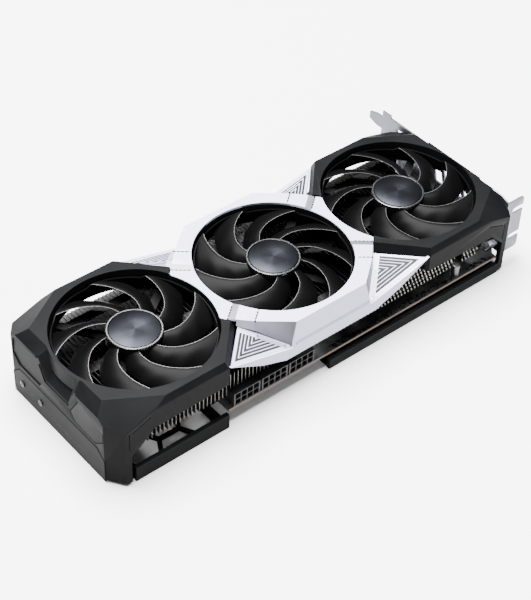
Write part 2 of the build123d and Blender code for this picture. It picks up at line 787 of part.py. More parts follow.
# ---- I/O bracket and its ports ----
port_depth = 18.0
port_face = bracket_x + 0.6
port_wall = 0.6
port_back = 4.0               # solid behind a port's opening
port_play = 0.5               # the plate's cut-outs are this much larger than the ports
tongue_in = (1.5, 2.2)        # a port's contact tongue: short of the face, and of each side
tongue_half = 0.7
tongue_root = 3.0
ports = {
    "displayport_1": (-27.0, 17.6, 6.8), "displayport_2": (-7.5, 17.6, 6.8),
    "displayport_3": (12.0, 17.6, 6.8), "hdmi_port": (30.5, 15.4, 6.2),
}
tab_slots = (37.0, 37.0 - slot_pitch)
tab_slot_r = 1.8
tab_slot_depth = 7.0
tongue_y = 74.9
plate_outline = [
    (tab_y - bracket_t, bracket_low), (60.0, bracket_low), (63.7, 10.4), (63.7, 15.4), (68.5, 15.4),
    (tongue_y, 17.4), (tongue_y, 22.4), (68.5, 24.4), (63.7, 24.4), (63.7, 35.7), (68.5, 35.7),
    (tongue_y, 37.7), (tongue_y, 42.7), (68.5, 44.7), (63.7, 44.7), (63.7, 49.3), (56.3, 49.3),
    (56.3, 47.6), (-40.0, 47.6), (tab_y - bracket_t, bracket_high),
]
vent_low = 26.0
vent_high = 43.0
vent_count = 10
vent_step = 8.2
vent_start = -34.0
vent_width = 5.6
vent_lean = 4.5
tab_round = 2.5
lug_y = 40.6
lug_x = (132.0, 134.9)        # where a lug starts, and its screw
lug_half = 2.4
lug_t = 1.4

with BuildPart() as io_bracket:
    with BuildSketch(across_at(bracket_x - bracket_t)) as outline:
        with BuildLine():
            Polyline(*plate_outline, close=True)
        make_face()
        for y, width, height in ports.values():
            with Locations((y, board_top + height / 2)):
                Rectangle(width + port_play, height + port_play, mode=Mode.SUBTRACT)
        for number in range(vent_count):
            with BuildLine():
                low_y = vent_start + vent_step * number
                high_y = low_y + vent_lean
                Polyline(
                    (low_y, vent_low), (low_y + vent_width, vent_low),
                    (high_y + vent_width, vent_high), (high_y, vent_high), close=True,
                )
            make_face(mode=Mode.SUBTRACT)
    extrude(outline.sketch, amount=bracket_t)
    low = (bracket_x - bracket_t, tab_y - bracket_t, bracket_low)
    block(low, (tab_reach, tab_y, bracket_high))
    fillet(io_bracket.edges().filter_by(Axis.Y).group_by(Axis.X)[-1], tab_round)
    for z in tab_slots:
        low = (tab_reach - tab_slot_depth, tab_y - bracket_t - past, z - tab_slot_r)
        block(low, (tab_reach + past, tab_y + past, z + tab_slot_r), mode=Mode.SUBTRACT)
        with Locations(Location((tab_reach - tab_slot_depth, tab_y, z), (90, 0, 0))):
            Cylinder(tab_slot_r, 2 * (bracket_t + past), mode=Mode.SUBTRACT)
    for way in (-1, 1):
        low = (lug_x[0], way * lug_y - lug_half, board_top)
        block(low, (bracket_x - bracket_t, way * lug_y + lug_half, board_top + lug_t))
        spot = (lug_x[1], way * lug_y)
        post(spot, board_top - past, board_top + lug_t + past, screw_r, mode=Mode.SUBTRACT)
save(io_bracket, "io_bracket")

with BuildPart() as bracket_screws:
    for way in (-1, 1):
        spot = (lug_x[1], way * lug_y)
        post(spot, board_top, board_top + lug_t, screw_r)
        post(spot, board_top + lug_t, board_top + 2 * lug_t, head_r)
save(bracket_screws, "bracket_screws")


def port(y, width, height):
    """A display socket: a metal shell round its contact tongue."""
    with BuildPart() as shell:
        low = (port_face - port_depth, y - width / 2, board_top)
        high = (port_face, y + width / 2, board_top + height)
        block(low, high)
        inner_low = (low[0] + port_back, low[1] + port_wall, low[2] + port_wall)
        inner_high = (high[0] + past, high[1] - port_wall, high[2] - port_wall)
        block(inner_low, inner_high, mode=Mode.SUBTRACT)
        middle = board_top + height / 2
        tip = (high[0] - tongue_in[0], high[1] - tongue_in[1], middle + tongue_half)
        block((low[0] + tongue_root, low[1] + tongue_in[1], middle - tongue_half), tip)
    return shell


for name, size in ports.items():
    save(port(*size), name)
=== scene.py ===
import json
import math
import random

import bmesh
import bpy
from mathutils import Matrix, Vector


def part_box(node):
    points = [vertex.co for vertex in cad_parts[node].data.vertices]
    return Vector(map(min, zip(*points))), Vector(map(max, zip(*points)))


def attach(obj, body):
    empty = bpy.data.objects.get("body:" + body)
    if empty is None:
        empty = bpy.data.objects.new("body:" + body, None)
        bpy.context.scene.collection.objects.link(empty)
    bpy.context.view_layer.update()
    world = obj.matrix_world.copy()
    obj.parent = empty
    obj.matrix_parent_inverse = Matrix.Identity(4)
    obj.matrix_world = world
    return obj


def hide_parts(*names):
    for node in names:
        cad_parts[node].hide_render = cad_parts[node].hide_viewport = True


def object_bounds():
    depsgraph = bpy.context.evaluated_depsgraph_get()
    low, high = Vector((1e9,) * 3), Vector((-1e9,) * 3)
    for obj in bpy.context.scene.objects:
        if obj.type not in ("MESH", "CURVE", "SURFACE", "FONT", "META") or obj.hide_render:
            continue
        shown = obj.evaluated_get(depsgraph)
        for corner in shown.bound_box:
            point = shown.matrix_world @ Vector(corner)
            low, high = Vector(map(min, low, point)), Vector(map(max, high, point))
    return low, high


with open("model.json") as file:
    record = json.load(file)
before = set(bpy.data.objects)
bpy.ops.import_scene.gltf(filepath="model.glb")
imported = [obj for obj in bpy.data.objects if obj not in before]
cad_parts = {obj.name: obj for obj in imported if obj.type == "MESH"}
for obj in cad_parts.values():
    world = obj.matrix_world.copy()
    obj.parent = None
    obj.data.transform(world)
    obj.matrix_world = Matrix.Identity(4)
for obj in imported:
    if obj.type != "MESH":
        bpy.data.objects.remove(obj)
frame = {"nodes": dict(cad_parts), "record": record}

cadLow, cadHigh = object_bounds()
nodes = frame["nodes"]
mm = 0.001
near = 0.00001    # in metres, points closer than this are one
print("frame loaded,", len(nodes), "nodes")


# Shader maths through overloaded operators.
class Wire:
    def __init__(self, finish, socket):
        self.finish = finish
        self.socket = socket

    def combine(self, operation, first, second=None):
        inputs = {0: first} if second is None else {0: first, 1: second}
        return self.finish.node("Math", {"operation": operation}, inputs)

    def __add__(self, other):
        return self.combine("ADD", self, other)

    def __radd__(self, other):
        return self.combine("ADD", other, self)

    def __sub__(self, other):
        return self.combine("SUBTRACT", self, other)

    def __rsub__(self, other):
        return self.combine("SUBTRACT", other, self)

    def __mul__(self, other):
        return self.combine("MULTIPLY", self, other)

    def __rmul__(self, other):
        return self.combine("MULTIPLY", other, self)

    def __truediv__(self, other):
        return self.combine("DIVIDE", self, other)

    def __rtruediv__(self, other):
        return self.combine("DIVIDE", other, self)


class Finish:
    def __init__(self, name, colour, roughness, metallic=0.0, **fixed):
        self.material = bpy.data.materials.new(name)
        self.material.use_nodes = True
        self.tree = self.material.node_tree
        self.shader = self.tree.nodes["Principled BSDF"]
        self.colour = (*colour, 1.0)
        self.feed("Base Color", self.colour)
        self.feed("Roughness", roughness)
        self.feed("Metallic", metallic)
        for name, value in fixed.items():
            self.feed(name.replace("_", " "), value)
        self.place = self.node("TexCoord", output="Object")

    def node(self, kind, settings=None, inputs=None, output=0):
        made = self.tree.nodes.new("ShaderNode" + kind)
        for name, value in (settings or {}).items():
            if name == "stops":
                ramp = made.color_ramp.elements
                while len(ramp) < len(value):
                    ramp.new(1.0)
                for stop, (spot, grey) in zip(ramp, value):
                    stop.position = spot
                    stop.color = (grey, grey, grey, 1.0)
            else:
                setattr(made, name, value)
        for name, value in (inputs or {}).items():
            self.join(made.inputs[name], value)
        return Wire(self, made.outputs[output])

    def join(self, socket, value):
        if isinstance(value, Wire):
            self.tree.links.new(value.socket, socket)
        else:
            socket.default_value = value

    def feed(self, name, value):
        self.join(self.shader.inputs[name], value)

    def stretched(self, scale, centre=(0, 0, 0), turn=(0, 0, 0)):
        moved = self.node("VectorMath", {"operation": "SUBTRACT"}, {0: self.place, 1: centre})
        return self.node("Mapping", None, {"Vector": moved, "Scale": scale, "Rotation": turn})

    def noise(self, scale, detail=3.0, vector=None):
        inputs = {"Vector": vector or self.place, "Scale": scale, "Detail": detail}
        return self.node("TexNoise", None, inputs)

    def ramp(self, value, *stops):
        return self.node("ValToRGB", {"stops": stops}, {"Fac": value})

    def tint(self, amount, colour, base=None):
        inputs = {"Factor": amount, 6: base or self.colour, 7: (*colour, 1.0)}
        return self.node("Mix", {"data_type": "RGBA"}, inputs, output=2)

    def bump(self, height, distance, strength=1.0):
        inputs = {"Height": height, "Distance": distance, "Strength": strength}
        self.feed("Normal", self.node("Bump", None, inputs))


# Finishes, one function for each kind of surface.
# Moulded plastic, rubber and other cast surfaces: a fine grain and soft blotches.
def mouldedFinish(name, colour, roughness, grain=2600.0, depth=0.000012, wear=0.12, **fixed):
    finish = Finish(name, colour, roughness, **fixed)
    cloud = finish.noise(38.0, 4.0)
    speck = finish.noise(grain, 2.0)
    lighter = [min(1.0, part * (1 + wear * 3) + wear * 0.01) for part in colour]
    blotches = finish.ramp(cloud * 0.7 + speck * 0.3, (0.35, 0), (0.75, 1))
    finish.feed("Base Color", finish.tint(blotches, lighter))
    finish.feed("Roughness", roughness - 0.05 + cloud * 0.1 + speck * 0.04)
    finish.bump(speck, depth)
    return finish.material


# Metal with a grain that is stretched along one direction.
def brushedFinish(
    name, colour, roughness, stretch, grain=900.0, depth=0.000006, contrast=0.12, **fixed,
):
    finish = Finish(name, colour, roughness, 1.0, **fixed)
    lines = finish.noise(grain, 4.0, finish.stretched(stretch))
    cloud = finish.noise(26.0, 3.0)
    darker = [part * (1 - contrast * 2.2) for part in colour]
    streaks = finish.ramp(lines * 0.75 + cloud * 0.25, (0.3, 0), (0.7, 1))
    finish.feed("Base Color", finish.tint(streaks, darker))
    finish.feed("Roughness", roughness - 0.08 + lines * 0.12 + cloud * 0.06)
    finish.bump(lines, depth)
    return finish.material


# Silver paint with metal flakes under a thin clear coat.
def silverFinish(name, colour, roughness, metallic):
    finish = Finish(name, colour, roughness, metallic, Coat_Weight=0.25, Coat_Roughness=0.18)
    flake = finish.node("TexVoronoi", None, {"Vector": finish.place, "Scale": 4200.0}, output="Color")
    sparkle = finish.node("SeparateColor", None, {"Color": flake})
    cloud = finish.noise(30.0, 3.0)
    shade = [part * 0.84 for part in colour]
    finish.feed("Base Color", finish.tint(sparkle * 0.35 + cloud * 0.3, shade))
    finish.feed("Roughness", roughness - 0.04 + cloud * 0.08)
    finish.bump(sparkle, 0.000004)
    return finish.material


# Painted shade: paint that is dark near the card's middle and lightens away from it, standing in for
# the shade on the hollow shoulder facets.
def paintedShadeGradient(name, dark, light, nearX, farX):
    finish = Finish(name, dark, 0.42, Specular_IOR_Level=0.2)
    sideways = finish.node("SeparateXYZ", None, {"Vector": finish.place}, output="X")
    away = finish.node("Math", {"operation": "ABSOLUTE"}, {0: sideways})
    cloud = finish.noise(30.0, 3.0)
    shadeFade = finish.ramp((away - nearX) / (farX - nearX), (0.0, 0), (1.0, 1))
    finish.feed("Base Color", finish.tint(shadeFade * 0.85 + cloud * 0.1, light))
    finish.feed("Roughness", 0.38 + cloud * 0.08)
    finish.bump(finish.noise(2600.0, 2.0), 0.000006)
    return finish.material


# Turned disc: concentric rings, and a painted reflection of bright and dark sectors around its centre.
def spunFinish(name, colour, roughness, centreX):
    finish = Finish(name, colour, roughness, 1.0)
    moved = finish.stretched((1, 1, 0), (centreX, 0, 0))
    away = finish.node("VectorMath", {"operation": "LENGTH"}, {0: moved}, output="Value")
    spotX = finish.node("SeparateXYZ", None, {"Vector": moved}, output="X")
    spotY = finish.node("SeparateXYZ", None, {"Vector": moved}, output="Y")
    angle = finish.node("Math", {"operation": "ARCTAN2"}, {0: spotY, 1: spotX})
    # Bright and dark sectors round the centre: a painted reflection.
    reflectionSectors = finish.node("Math", {"operation": "SINE"}, {0: angle * 2.0 + 0.9})
    reflectionRipple = finish.node("Math", {"operation": "SINE"}, {0: angle * 7.0 + 0.4})
    flat = finish.node("CombineXYZ", None, {"X": away})
    rings = finish.noise(5200.0, 2.0, flat)
    paintedReflection = finish.ramp(reflectionSectors * 0.42 + reflectionRipple * 0.06 + 0.5, (0.05, 0), (0.6, 0.35), (1, 1))
    bright = [min(1.0, part * 4.0) for part in colour]
    finish.feed("Base Color", finish.tint(paintedReflection * 0.8 + rings * 0.2, bright))
    finish.feed("Roughness", roughness + rings * 0.12)
    finish.bump(rings, 0.000012)
    return finish.material


# Solder mask over copper tracks and plated holes.
def boardFinish(name, colour):
    finish = Finish(name, colour, 0.32, Coat_Weight=0.4, Coat_Roughness=0.2)
    settings = {"offset": 0.37, "offset_frequency": 3, "squash": 1.6, "squash_frequency": 5}
    inputs = {
        "Vector": finish.place, "Scale": 330.0, "Mortar Size": 0.035, "Mortar Smooth": 0.2,
        "Color1": (0, 0, 0, 1), "Color2": (0.25, 0.25, 0.25, 1), "Mortar": (1, 1, 1, 1),
        "Brick Width": 1.3, "Row Height": 0.35,
    }
    tracks = finish.node("TexBrick", settings, inputs)
    pads = finish.node("TexVoronoi", None, {"Vector": finish.place, "Scale": 520.0}, output="Distance")
    holes = finish.ramp(pads, (0.06, 1), (0.12, 0))
    finish.feed("Base Color", finish.tint(tracks * 0.5, (0.035, 0.04, 0.036)))
    finish.feed("Metallic", holes * 0.6)
    finish.bump(tracks * 0.6 + holes, 0.00003)
    return finish.material


# Cut edge of the board, with its glass layers.
def edgeFinish(name, colour):
    finish = Finish(name, colour, 0.55)
    layers = finish.noise(1500.0, 3.0, finish.stretched((0.05, 0.05, 2.2)))
    plies = finish.ramp(layers, (0.4, 0), (0.6, 1))
    finish.feed("Base Color", finish.tint(plies, (0.03, 0.012, 0.005)))
    finish.bump(layers, 0.00002)
    return finish.material


# Stacked iron sheets, one sine wave for each sheet.
def laminatedFinish(name, colour, pitch):
    finish = Finish(name, colour, 0.45, 0.9)
    height = finish.node("SeparateXYZ", None, {"Vector": finish.place}, output="Z")
    sheets = finish.node("Math", {"operation": "SINE"}, {0: height * (2 * math.pi / pitch)})
    cloud = finish.noise(700.0)
    gaps = finish.ramp(sheets * 0.5 + 0.5, (0.1, 1), (0.35, 0))
    finish.feed("Base Color", finish.tint(gaps, (0.02, 0.02, 0.02)))
    finish.feed("Roughness", 0.35 + cloud * 0.2)
    finish.bump(sheets, 0.00003)
    return finish.material


def floorFinish(name, colour):
    finish = Finish(name, colour, 0.75)
    cloud = finish.noise(5.0, 2.0)
    finish.feed("Base Color", finish.tint(cloud * 0.4, [part * 0.985 for part in colour]))
    return finish.material


dull = {"Specular_IOR_Level": 0.024}
grainX = (0.02, 1.0, 1.0)    # stretched in X
grainY = (1.0, 0.02, 1.0)    # stretched in Y
finishes = {
    "dark_plastic": mouldedFinish(
        "charcoalShroud", (0.0010, 0.00104, 0.0012), 0.44, depth=0.00001, **dull,
    ),
    "silver_plastic": silverFinish("silverPaint", (0.255, 0.25, 0.34), 0.38, 0.0),
    "fan_plastic": mouldedFinish(
        "fanBlack", (0.0004, 0.0004, 0.00045), 0.36, 1800.0, 0.000006,
        wear=0.05, Specular_IOR_Level=0.02,
    ),
    "mount_plastic": mouldedFinish("mountBlack", (0.0012, 0.0012, 0.0013), 0.5, **dull),
    "steel": brushedFinish("screwSteel", (0.17, 0.172, 0.18), 0.28, grainY, 1600.0),
    "bracket_steel": brushedFinish(
        "bracketSteel", (0.10, 0.10, 0.116), 0.36, grainY, 700.0, contrast=0.06,
    ),
    "magnet": mouldedFinish("ferrite", (0.010, 0.0095, 0.009), 0.6, 1400.0, 0.00002),
    "iron_core": laminatedFinish("laminatedIron", (0.12, 0.117, 0.113), 0.0005),
    "bronze": brushedFinish("sinteredBronze", (0.16, 0.10, 0.043), 0.45, (1, 1, 1), 2400.0, 0.00002),
    "fin_aluminium": brushedFinish("finAluminium", (0.22, 0.215, 0.2), 0.4, (1, 1, 0.03), 1200.0),
    "copper": brushedFinish("pipeCopper", (0.24, 0.105, 0.05), 0.28, grainX, 1100.0),
    "plate_metal": brushedFinish(
        "endPlateMetal", (0.0016, 0.0016, 0.0019), 0.4, grainY, 1500.0,
        contrast=0.25, Metallic=0.0, **dull,
    ),
    "back_metal": mouldedFinish(
        "backplateCoat", (0.0013, 0.00135, 0.0015), 0.45, 3200.0, 0.000016, **dull,
    ),
    "board": boardFinish("solderMask", (0.0012, 0.0014, 0.0014)),
    "gold": brushedFinish("goldPlate", (0.27, 0.18, 0.06), 0.25, grainY, 1300.0),
    "chip_black": mouldedFinish("chipEpoxy", (0.0025, 0.0025, 0.0028), 0.55, 3000.0, 0.00001, **dull),
    "substrate": mouldedFinish("chipSubstrate", (0.006, 0.022, 0.013), 0.4, 2400.0),
    "silicon": brushedFinish("siliconDie", (0.09, 0.093, 0.105), 0.12, grainX, 500.0),
    "paste_grey": mouldedFinish("thermalPaste", (0.12, 0.12, 0.123), 0.6, 500.0, 0.00005),
    "pad_grey": mouldedFinish("thermalPad", (0.08, 0.085, 0.096), 0.8, 1200.0, 0.00004),
    "choke_grey": mouldedFinish("chokeFerrite", (0.022, 0.022, 0.0235), 0.55, 1500.0, 0.00003),
    "can_metal": brushedFinish("canAluminium", (0.12, 0.12, 0.125), 0.3, (1, 1, 0.04), 900.0),
    "socket_black": mouldedFinish(
        "socketNylon", (0.0025, 0.0025, 0.0027), 0.42, 2200.0, Specular_IOR_Level=0.2,
    ),
    "black_steel": mouldedFinish("blackScrew", (0.006, 0.006, 0.0065), 0.35, 2600.0, Metallic=0.7),
    "foot_rubber": mouldedFinish("footRubber", (0.0018, 0.0018, 0.0018), 0.75, 1500.0, 0.00003),
}
# A darker copy of the silver paint: painted shade on the sloped collar-bevel faces and under the
# knurled bands.
silverPaintedShade = silverFinish("silverWithPaintedShade", (0.045, 0.045, 0.052), 0.4, 0.0)
# Dark groove faces between the wing ribs: painted shade.
wingPaintedShade = mouldedFinish("wingPaintedShade", (0.010, 0.010, 0.0112), 0.42, 2400.0, 0.00001, **dull)
# Painted shade gradient for the hollow shoulder facets.
shoulderPaintedShade = paintedShadeGradient("shoulderPaintedShade", (0.035, 0.035, 0.039), (0.2, 0.2, 0.24), 0.027, 0.046)
# Lighter faces along the blades' leading edges: a painted highlight.
bladePaintedHighlight = mouldedFinish("bladePaintedHighlight", (0.012, 0.012, 0.013), 0.34, 1800.0, 0.000006)
hubTrim = mouldedFinish("hubTrim", (0.0012, 0.0012, 0.0013), 0.25, 1800.0, 0.000004, wear=0.05)
# Near-black: painted shade on the carved groove walls and on the strip in the end plate gap; the collar
# dashes are also in this colour.
darkLineAndPaintedShade = mouldedFinish("darkLineAndPaintedShade", (0.0002, 0.0002, 0.0002), 0.7, **dull)
boardEdge = edgeFinish("boardEdge", (0.03, 0.012, 0.004))
# A dark copy of the fin aluminium: painted shade on the fin stacks.
finPaintedShade = brushedFinish("finAluminiumPaintedShade", (0.009, 0.009, 0.009), 0.45, (1, 1, 0.03), 1200.0)
print("finishes made:", len(finishes) + 1)

slotOf = {entry["node"]: entry["material_slot"] for entry in frame["record"]["subparts"]}


# Mesh helpers.
# A merged copy of a CAD node's mesh, with its flat faces joined where flatten is on.
def welded(nodeName, flatten=True):
    shape = bmesh.new()
    shape.from_mesh(nodes[nodeName].data)
    bmesh.ops.remove_doubles(shape, verts=shape.verts, dist=near)
    if flatten:
        flat = math.radians(1)
        bmesh.ops.dissolve_limit(shape, angle_limit=flat, verts=shape.verts, edges=shape.edges)
    return shape


def shadeSmooth(mesh, sharp=35.0):
    mesh.polygons.foreach_set("use_smooth", [True] * len(mesh.polygons))
    mesh.set_sharp_from_angle(angle=math.radians(sharp))


# Makes the mesh an object with its materials, body and the CAD nodes that it stands for.
def piece(name, shape, materials, body, replaced=(), sharp=35.0):
    mesh = bpy.data.meshes.new(name)
    shape.to_mesh(mesh)
    shape.free()
    made = bpy.data.objects.new(name, mesh)
    bpy.context.scene.collection.objects.link(made)
    for material in materials:
        mesh.materials.append(material)
    shadeSmooth(mesh, sharp)
    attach(made, body)
    if replaced:
        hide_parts(*replaced)
    return made


def roundEdges(made, width, segments=2, angle=28.0):
    edges = made.modifiers.new("edges", "BEVEL")
    edges.width = width
    edges.segments = segments
    edges.limit_method = "ANGLE"
    edges.angle_limit = math.radians(angle)
    edges.harden_normals = True
    edges.miter_outer = "MITER_ARC"


# Cuts a loose shape out of a piece; the cut walls take the cutter's material.
def carve(made, cutter):
    cut = made.modifiers.new("cut", "BOOLEAN")
    cut.operation = "DIFFERENCE"
    cut.solver = "EXACT"
    cut.use_self = True
    cut.material_mode = "TRANSFER"
    cut.object = cutter
    bpy.context.view_layer.update()
    graph = bpy.context.evaluated_depsgraph_get()
    mesh = bpy.data.meshes.new_from_object(made.evaluated_get(graph))
    made.modifiers.remove(cut)
    made.data = mesh
    bpy.data.objects.remove(cutter)
    shadeSmooth(mesh)


def loose(name, shape, material=None):
    mesh = bpy.data.meshes.new(name)
    shape.to_mesh(mesh)
    shape.free()
    if material:
        mesh.materials.append(material)
    made = bpy.data.objects.new(name, mesh)
    bpy.context.scene.collection.objects.link(made)
    return made


# Box between two corners, in millimetres.
def brick(shape, low, high):
    size = Matrix.Diagonal((*[(b - a) * mm for a, b in zip(low, high)], 1))
    middle = Vector([(a + b) / 2 for a, b in zip(low, high)]) * mm
    matrix = Matrix.Translation(middle) @ size
    bmesh.ops.create_cube(shape, size=1.0, matrix=matrix)


# Outline of radius and height, in millimetres, turned about an upright axis.
def lathe(shape, outline, centre, steps):
    points = [shape.verts.new((centre[0] + r * mm, centre[1], z * mm)) for r, z in outline]
    edges = [shape.edges.new(pair) for pair in zip(points, points[1:])]
    bmesh.ops.spin(
        shape, geom=points + edges, cent=(*centre, 0), axis=(0, 0, 1),
        angle=math.tau, steps=steps, use_merge=True, use_duplicate=False,
    )


def tidyNormals(shape):
    bmesh.ops.remove_doubles(shape, verts=shape.verts, dist=near / 5)
    bmesh.ops.recalc_face_normals(shape, faces=shape.faces)


# Straight cutters along a route; spot places a point and its depth on the surface.
def score(shape, points, width, depth, spot):
    for first, second in zip(points, points[1:]):
        start, end = spot(*first, 0), spot(*second, 0)
        inward = (spot(*first, 1) - start).normalized()
        way = (end - start).normalized()
        turn = Matrix((way, inward.cross(way), inward)).transposed().to_4x4()
        size = Matrix.Diagonal(((end - start).length + width * mm, width * mm, depth * 2 * mm, 1))
        matrix = Matrix.Translation((start + end) / 2) @ turn @ size
        bmesh.ops.create_cube(shape, size=1.0, matrix=matrix)


# The frame's own parts take their finishes.
for nodeName, node in nodes.items():
    slotName = slotOf.get(nodeName)
    if slotName in finishes:
        for number in range(len(node.data.materials)):
            node.material_slots[number].material = finishes[slotName]
print("frame parts finished")

# Dark shroud ends.
shroud = {
    "edge": 0.00055,
    "groove": 0.45,
    "grooveDepth": 0.45,
    "panelDepth": 0.55,
    "tailPanel": [
        (40.3, 41.6), (41.9, 30.1), (35.3, 24.5), (16.2, 24.1), (11.5, 30.8), (17.0, 44.0),
    ],
    "tailLine": [
        (-20.7, 42.3), (-12.8, 29.6), (-16.4, 24.5), (-34.8, 23.4), (-41.9, 29.6), (-41.9, 36.0),
    ],
    "plateLine": [
        (-42.4, 0.3), (-42.4, 15.1), (-36.1, 20.8), (36.1, 20.8), (42.4, 15.1), (42.4, 0.3),
    ],
    "plateGapShadow": {"out": 0.06, "depth": 0.1, "width": 0.63},
    "sideLines": [[(-135.9, 37.9), (-124.1, 42.3)], [(-137.6, 26.6), (-137.6, 37.9)]],
    "bracketShift": 2.6,
}
endRim = {
    "past": (-0.1, 1.4),
    "half": 22.0,
    "height": (40.0, 49.9),
    "edge": 0.0002,
    "bore": {"x": 96.0, "z": 45.0, "radius": 46.0, "length": 40.0, "steps": 160},
}


def shroudEnd(nodeName):
    materials = [finishes["dark_plastic"]]
    return piece(nodeName + "_shell", welded(nodeName), materials, "card", [nodeName])


def sideSpot(x, z, inward, way):
    return Vector((x * mm, way * (sideY + inward * mm), z * mm))


def scoreSides(shape, place):
    for route in shroud["sideLines"]:
        for way in (1, -1):
            score(
                shape, [(place(x), z) for x, z in route], shroud["groove"], shroud["grooveDepth"],
                lambda x, z, inward: sideSpot(x, z, inward, way),
            )


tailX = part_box("tail_shroud")[0].x
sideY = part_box("tail_shroud")[0].y
tailShell = shroudEnd("tail_shroud")
lines = bmesh.new()
tailSpot = lambda y, z, inward: Vector((tailX + inward * mm, y * mm, z * mm))
score(lines, shroud["tailLine"], shroud["groove"], shroud["grooveDepth"], tailSpot)
scoreSides(lines, lambda x: x)
# The carved groove walls take the near-black painted shade.
carve(tailShell, loose("lines", lines, darkLineAndPaintedShade))
panel = bmesh.new()
corners = [panel.verts.new((tailX - mm, y * mm, z * mm)) for y, z in shroud["tailPanel"]]
outline = bmesh.ops.contextual_create(panel, geom=corners)["faces"]
made = bmesh.ops.extrude_face_region(panel, geom=outline)["geom"]
moved = [part for part in made if isinstance(part, bmesh.types.BMVert)]
bmesh.ops.translate(panel, verts=moved, vec=((1 + shroud["panelDepth"]) * mm, 0, 0))
tidyNormals(panel)
carve(tailShell, loose("panel", panel))
roundEdges(tailShell, shroud["edge"])

# A near-black strip in the gap round the end plate: painted shadow.
gapShadowStrip = bmesh.new()
gap = shroud["plateGapShadow"]
gapSpots = [Vector((tailX - gap["out"] * mm, y * mm, z * mm)) for y, z in shroud["plateLine"]]
for start, end in zip(gapSpots, gapSpots[1:]):
    ahead = (end - start).normalized()
    turn = Matrix((ahead, Vector((1, 0, 0)), ahead.cross(Vector((1, 0, 0))))).transposed().to_4x4()
    length = (end - start).length + shroud["groove"] * mm
    size = Matrix.Diagonal((length, gap["depth"] * mm, gap["width"] * mm, 1))
    bmesh.ops.create_cube(gapShadowStrip, size=1.0, matrix=Matrix.Translation((start + end) / 2) @ turn @ size)
piece("end_plate_gap_shadow", gapShadowStrip, [darkLineAndPaintedShade], "card")

bracketShell = shroudEnd("bracket_shroud")
lines = bmesh.new()
scoreSides(lines, lambda x: -x - shroud["bracketShift"])
# The carved groove walls take the near-black painted shade.
carve(bracketShell, loose("lines", lines, darkLineAndPaintedShade))
roundEdges(bracketShell, shroud["edge"])

rim = bmesh.new()
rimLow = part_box("bracket_shroud")[1].x / mm
brick(
    rim, (rimLow + endRim["past"][0], -endRim["half"], endRim["height"][0]),
    (rimLow + endRim["past"][1], endRim["half"], endRim["height"][1]),
)
rimPiece = piece("bracket_end_rim", rim, [finishes["dark_plastic"]], "card")
bore = endRim["bore"]
hole = bmesh.new()
bmesh.ops.create_cone(
    hole, cap_ends=True, segments=bore["steps"], radius1=bore["radius"] * mm,
    radius2=bore["radius"] * mm, depth=bore["length"] * mm,
    matrix=Matrix.Translation((bore["x"] * mm, 0, bore["z"] * mm)),
)
carve(rimPiece, loose("hole", hole))
roundEdges(rimPiece, endRim["edge"])
print("shroud ends built")

# Silver cover: one quarter, mirrored both ways.
cover = {
    "edge": 0.00035,
    "collarAngle": 39.0,
    "collarInner": (35.0, 29.6),
    "collarOuter": (43.0, 17.1),
    "collarBevel": 4.0,
    "armDrop": 0.8,
    "seam": 0.22,
    "seamDepth": 0.45,
    "dashRise": 0.08,
    "dash": 1.5,
    "dashWidth": 0.9,
    "dashPitch": 2.3,
    "dashRuns": {"collarInner": (1.6, 11.0), "collarOuter": (1.6, 14.0)},
    "scoop": 1.6,
    "scoopCuts": 7,
    "scoopFacing": 0.995,
    "scoopSlack": 0.2,
    "crease": 0.1,
    "scoopCorners": [(25.0, 49.6, 50.0), (42.0, 36.1, 50.0), (42.7, 36.8, 43.4), (28.5, 52.0, 34.0)],
    "armReach": 31.0,
    "facetDepth": 3.0,
    "facetFrom": 20.0,
    "shoulderReach": (51.0, 28.0),
    "steep": 0.5,
    "slanted": 0.3,
}


def hollowShoulder(shape):
    corners = [Vector(spot) * mm for spot in cover["scoopCorners"]]
    normal = (corners[1] - corners[0]).cross(corners[3] - corners[0]).normalized()
    normal *= 1 if normal.x > 0 else -1
    facets = []
    for face in shape.faces:
        away = abs((face.verts[0].co - corners[0]).dot(normal))
        if face.normal.dot(normal) > cover["scoopFacing"] and away < cover["scoopSlack"] * mm:
            facets.append(face)
    edges = list({edge for face in facets for edge in face.edges})
    outside = {vert for edge in edges for vert in edge.verts}
    made = bmesh.ops.subdivide_edges(shape, edges=edges, cuts=cover["scoopCuts"], use_grid_fill=True)
    creased = [edge for edge in shape.edges if abs(edge.calc_face_angle(0)) > cover["crease"]]
    rim = {vert for edge in creased for vert in edge.verts}
    for part in made["geom_inner"]:
        if isinstance(part, bmesh.types.BMVert) and part not in rim and part not in outside:
            across = (part.co.z - corners[3].z) / (corners[0].z - corners[3].z)
            along = (part.co.x - corners[0].x) / (corners[1].x - corners[0].x)
            along, across = min(1, max(0, along)), min(1, max(0, across))
            hollow = 8 * along * (1 - along) * across * (1 - across)    # deepest in the middle
            part.co -= normal * cover["scoop"] * mm * hollow


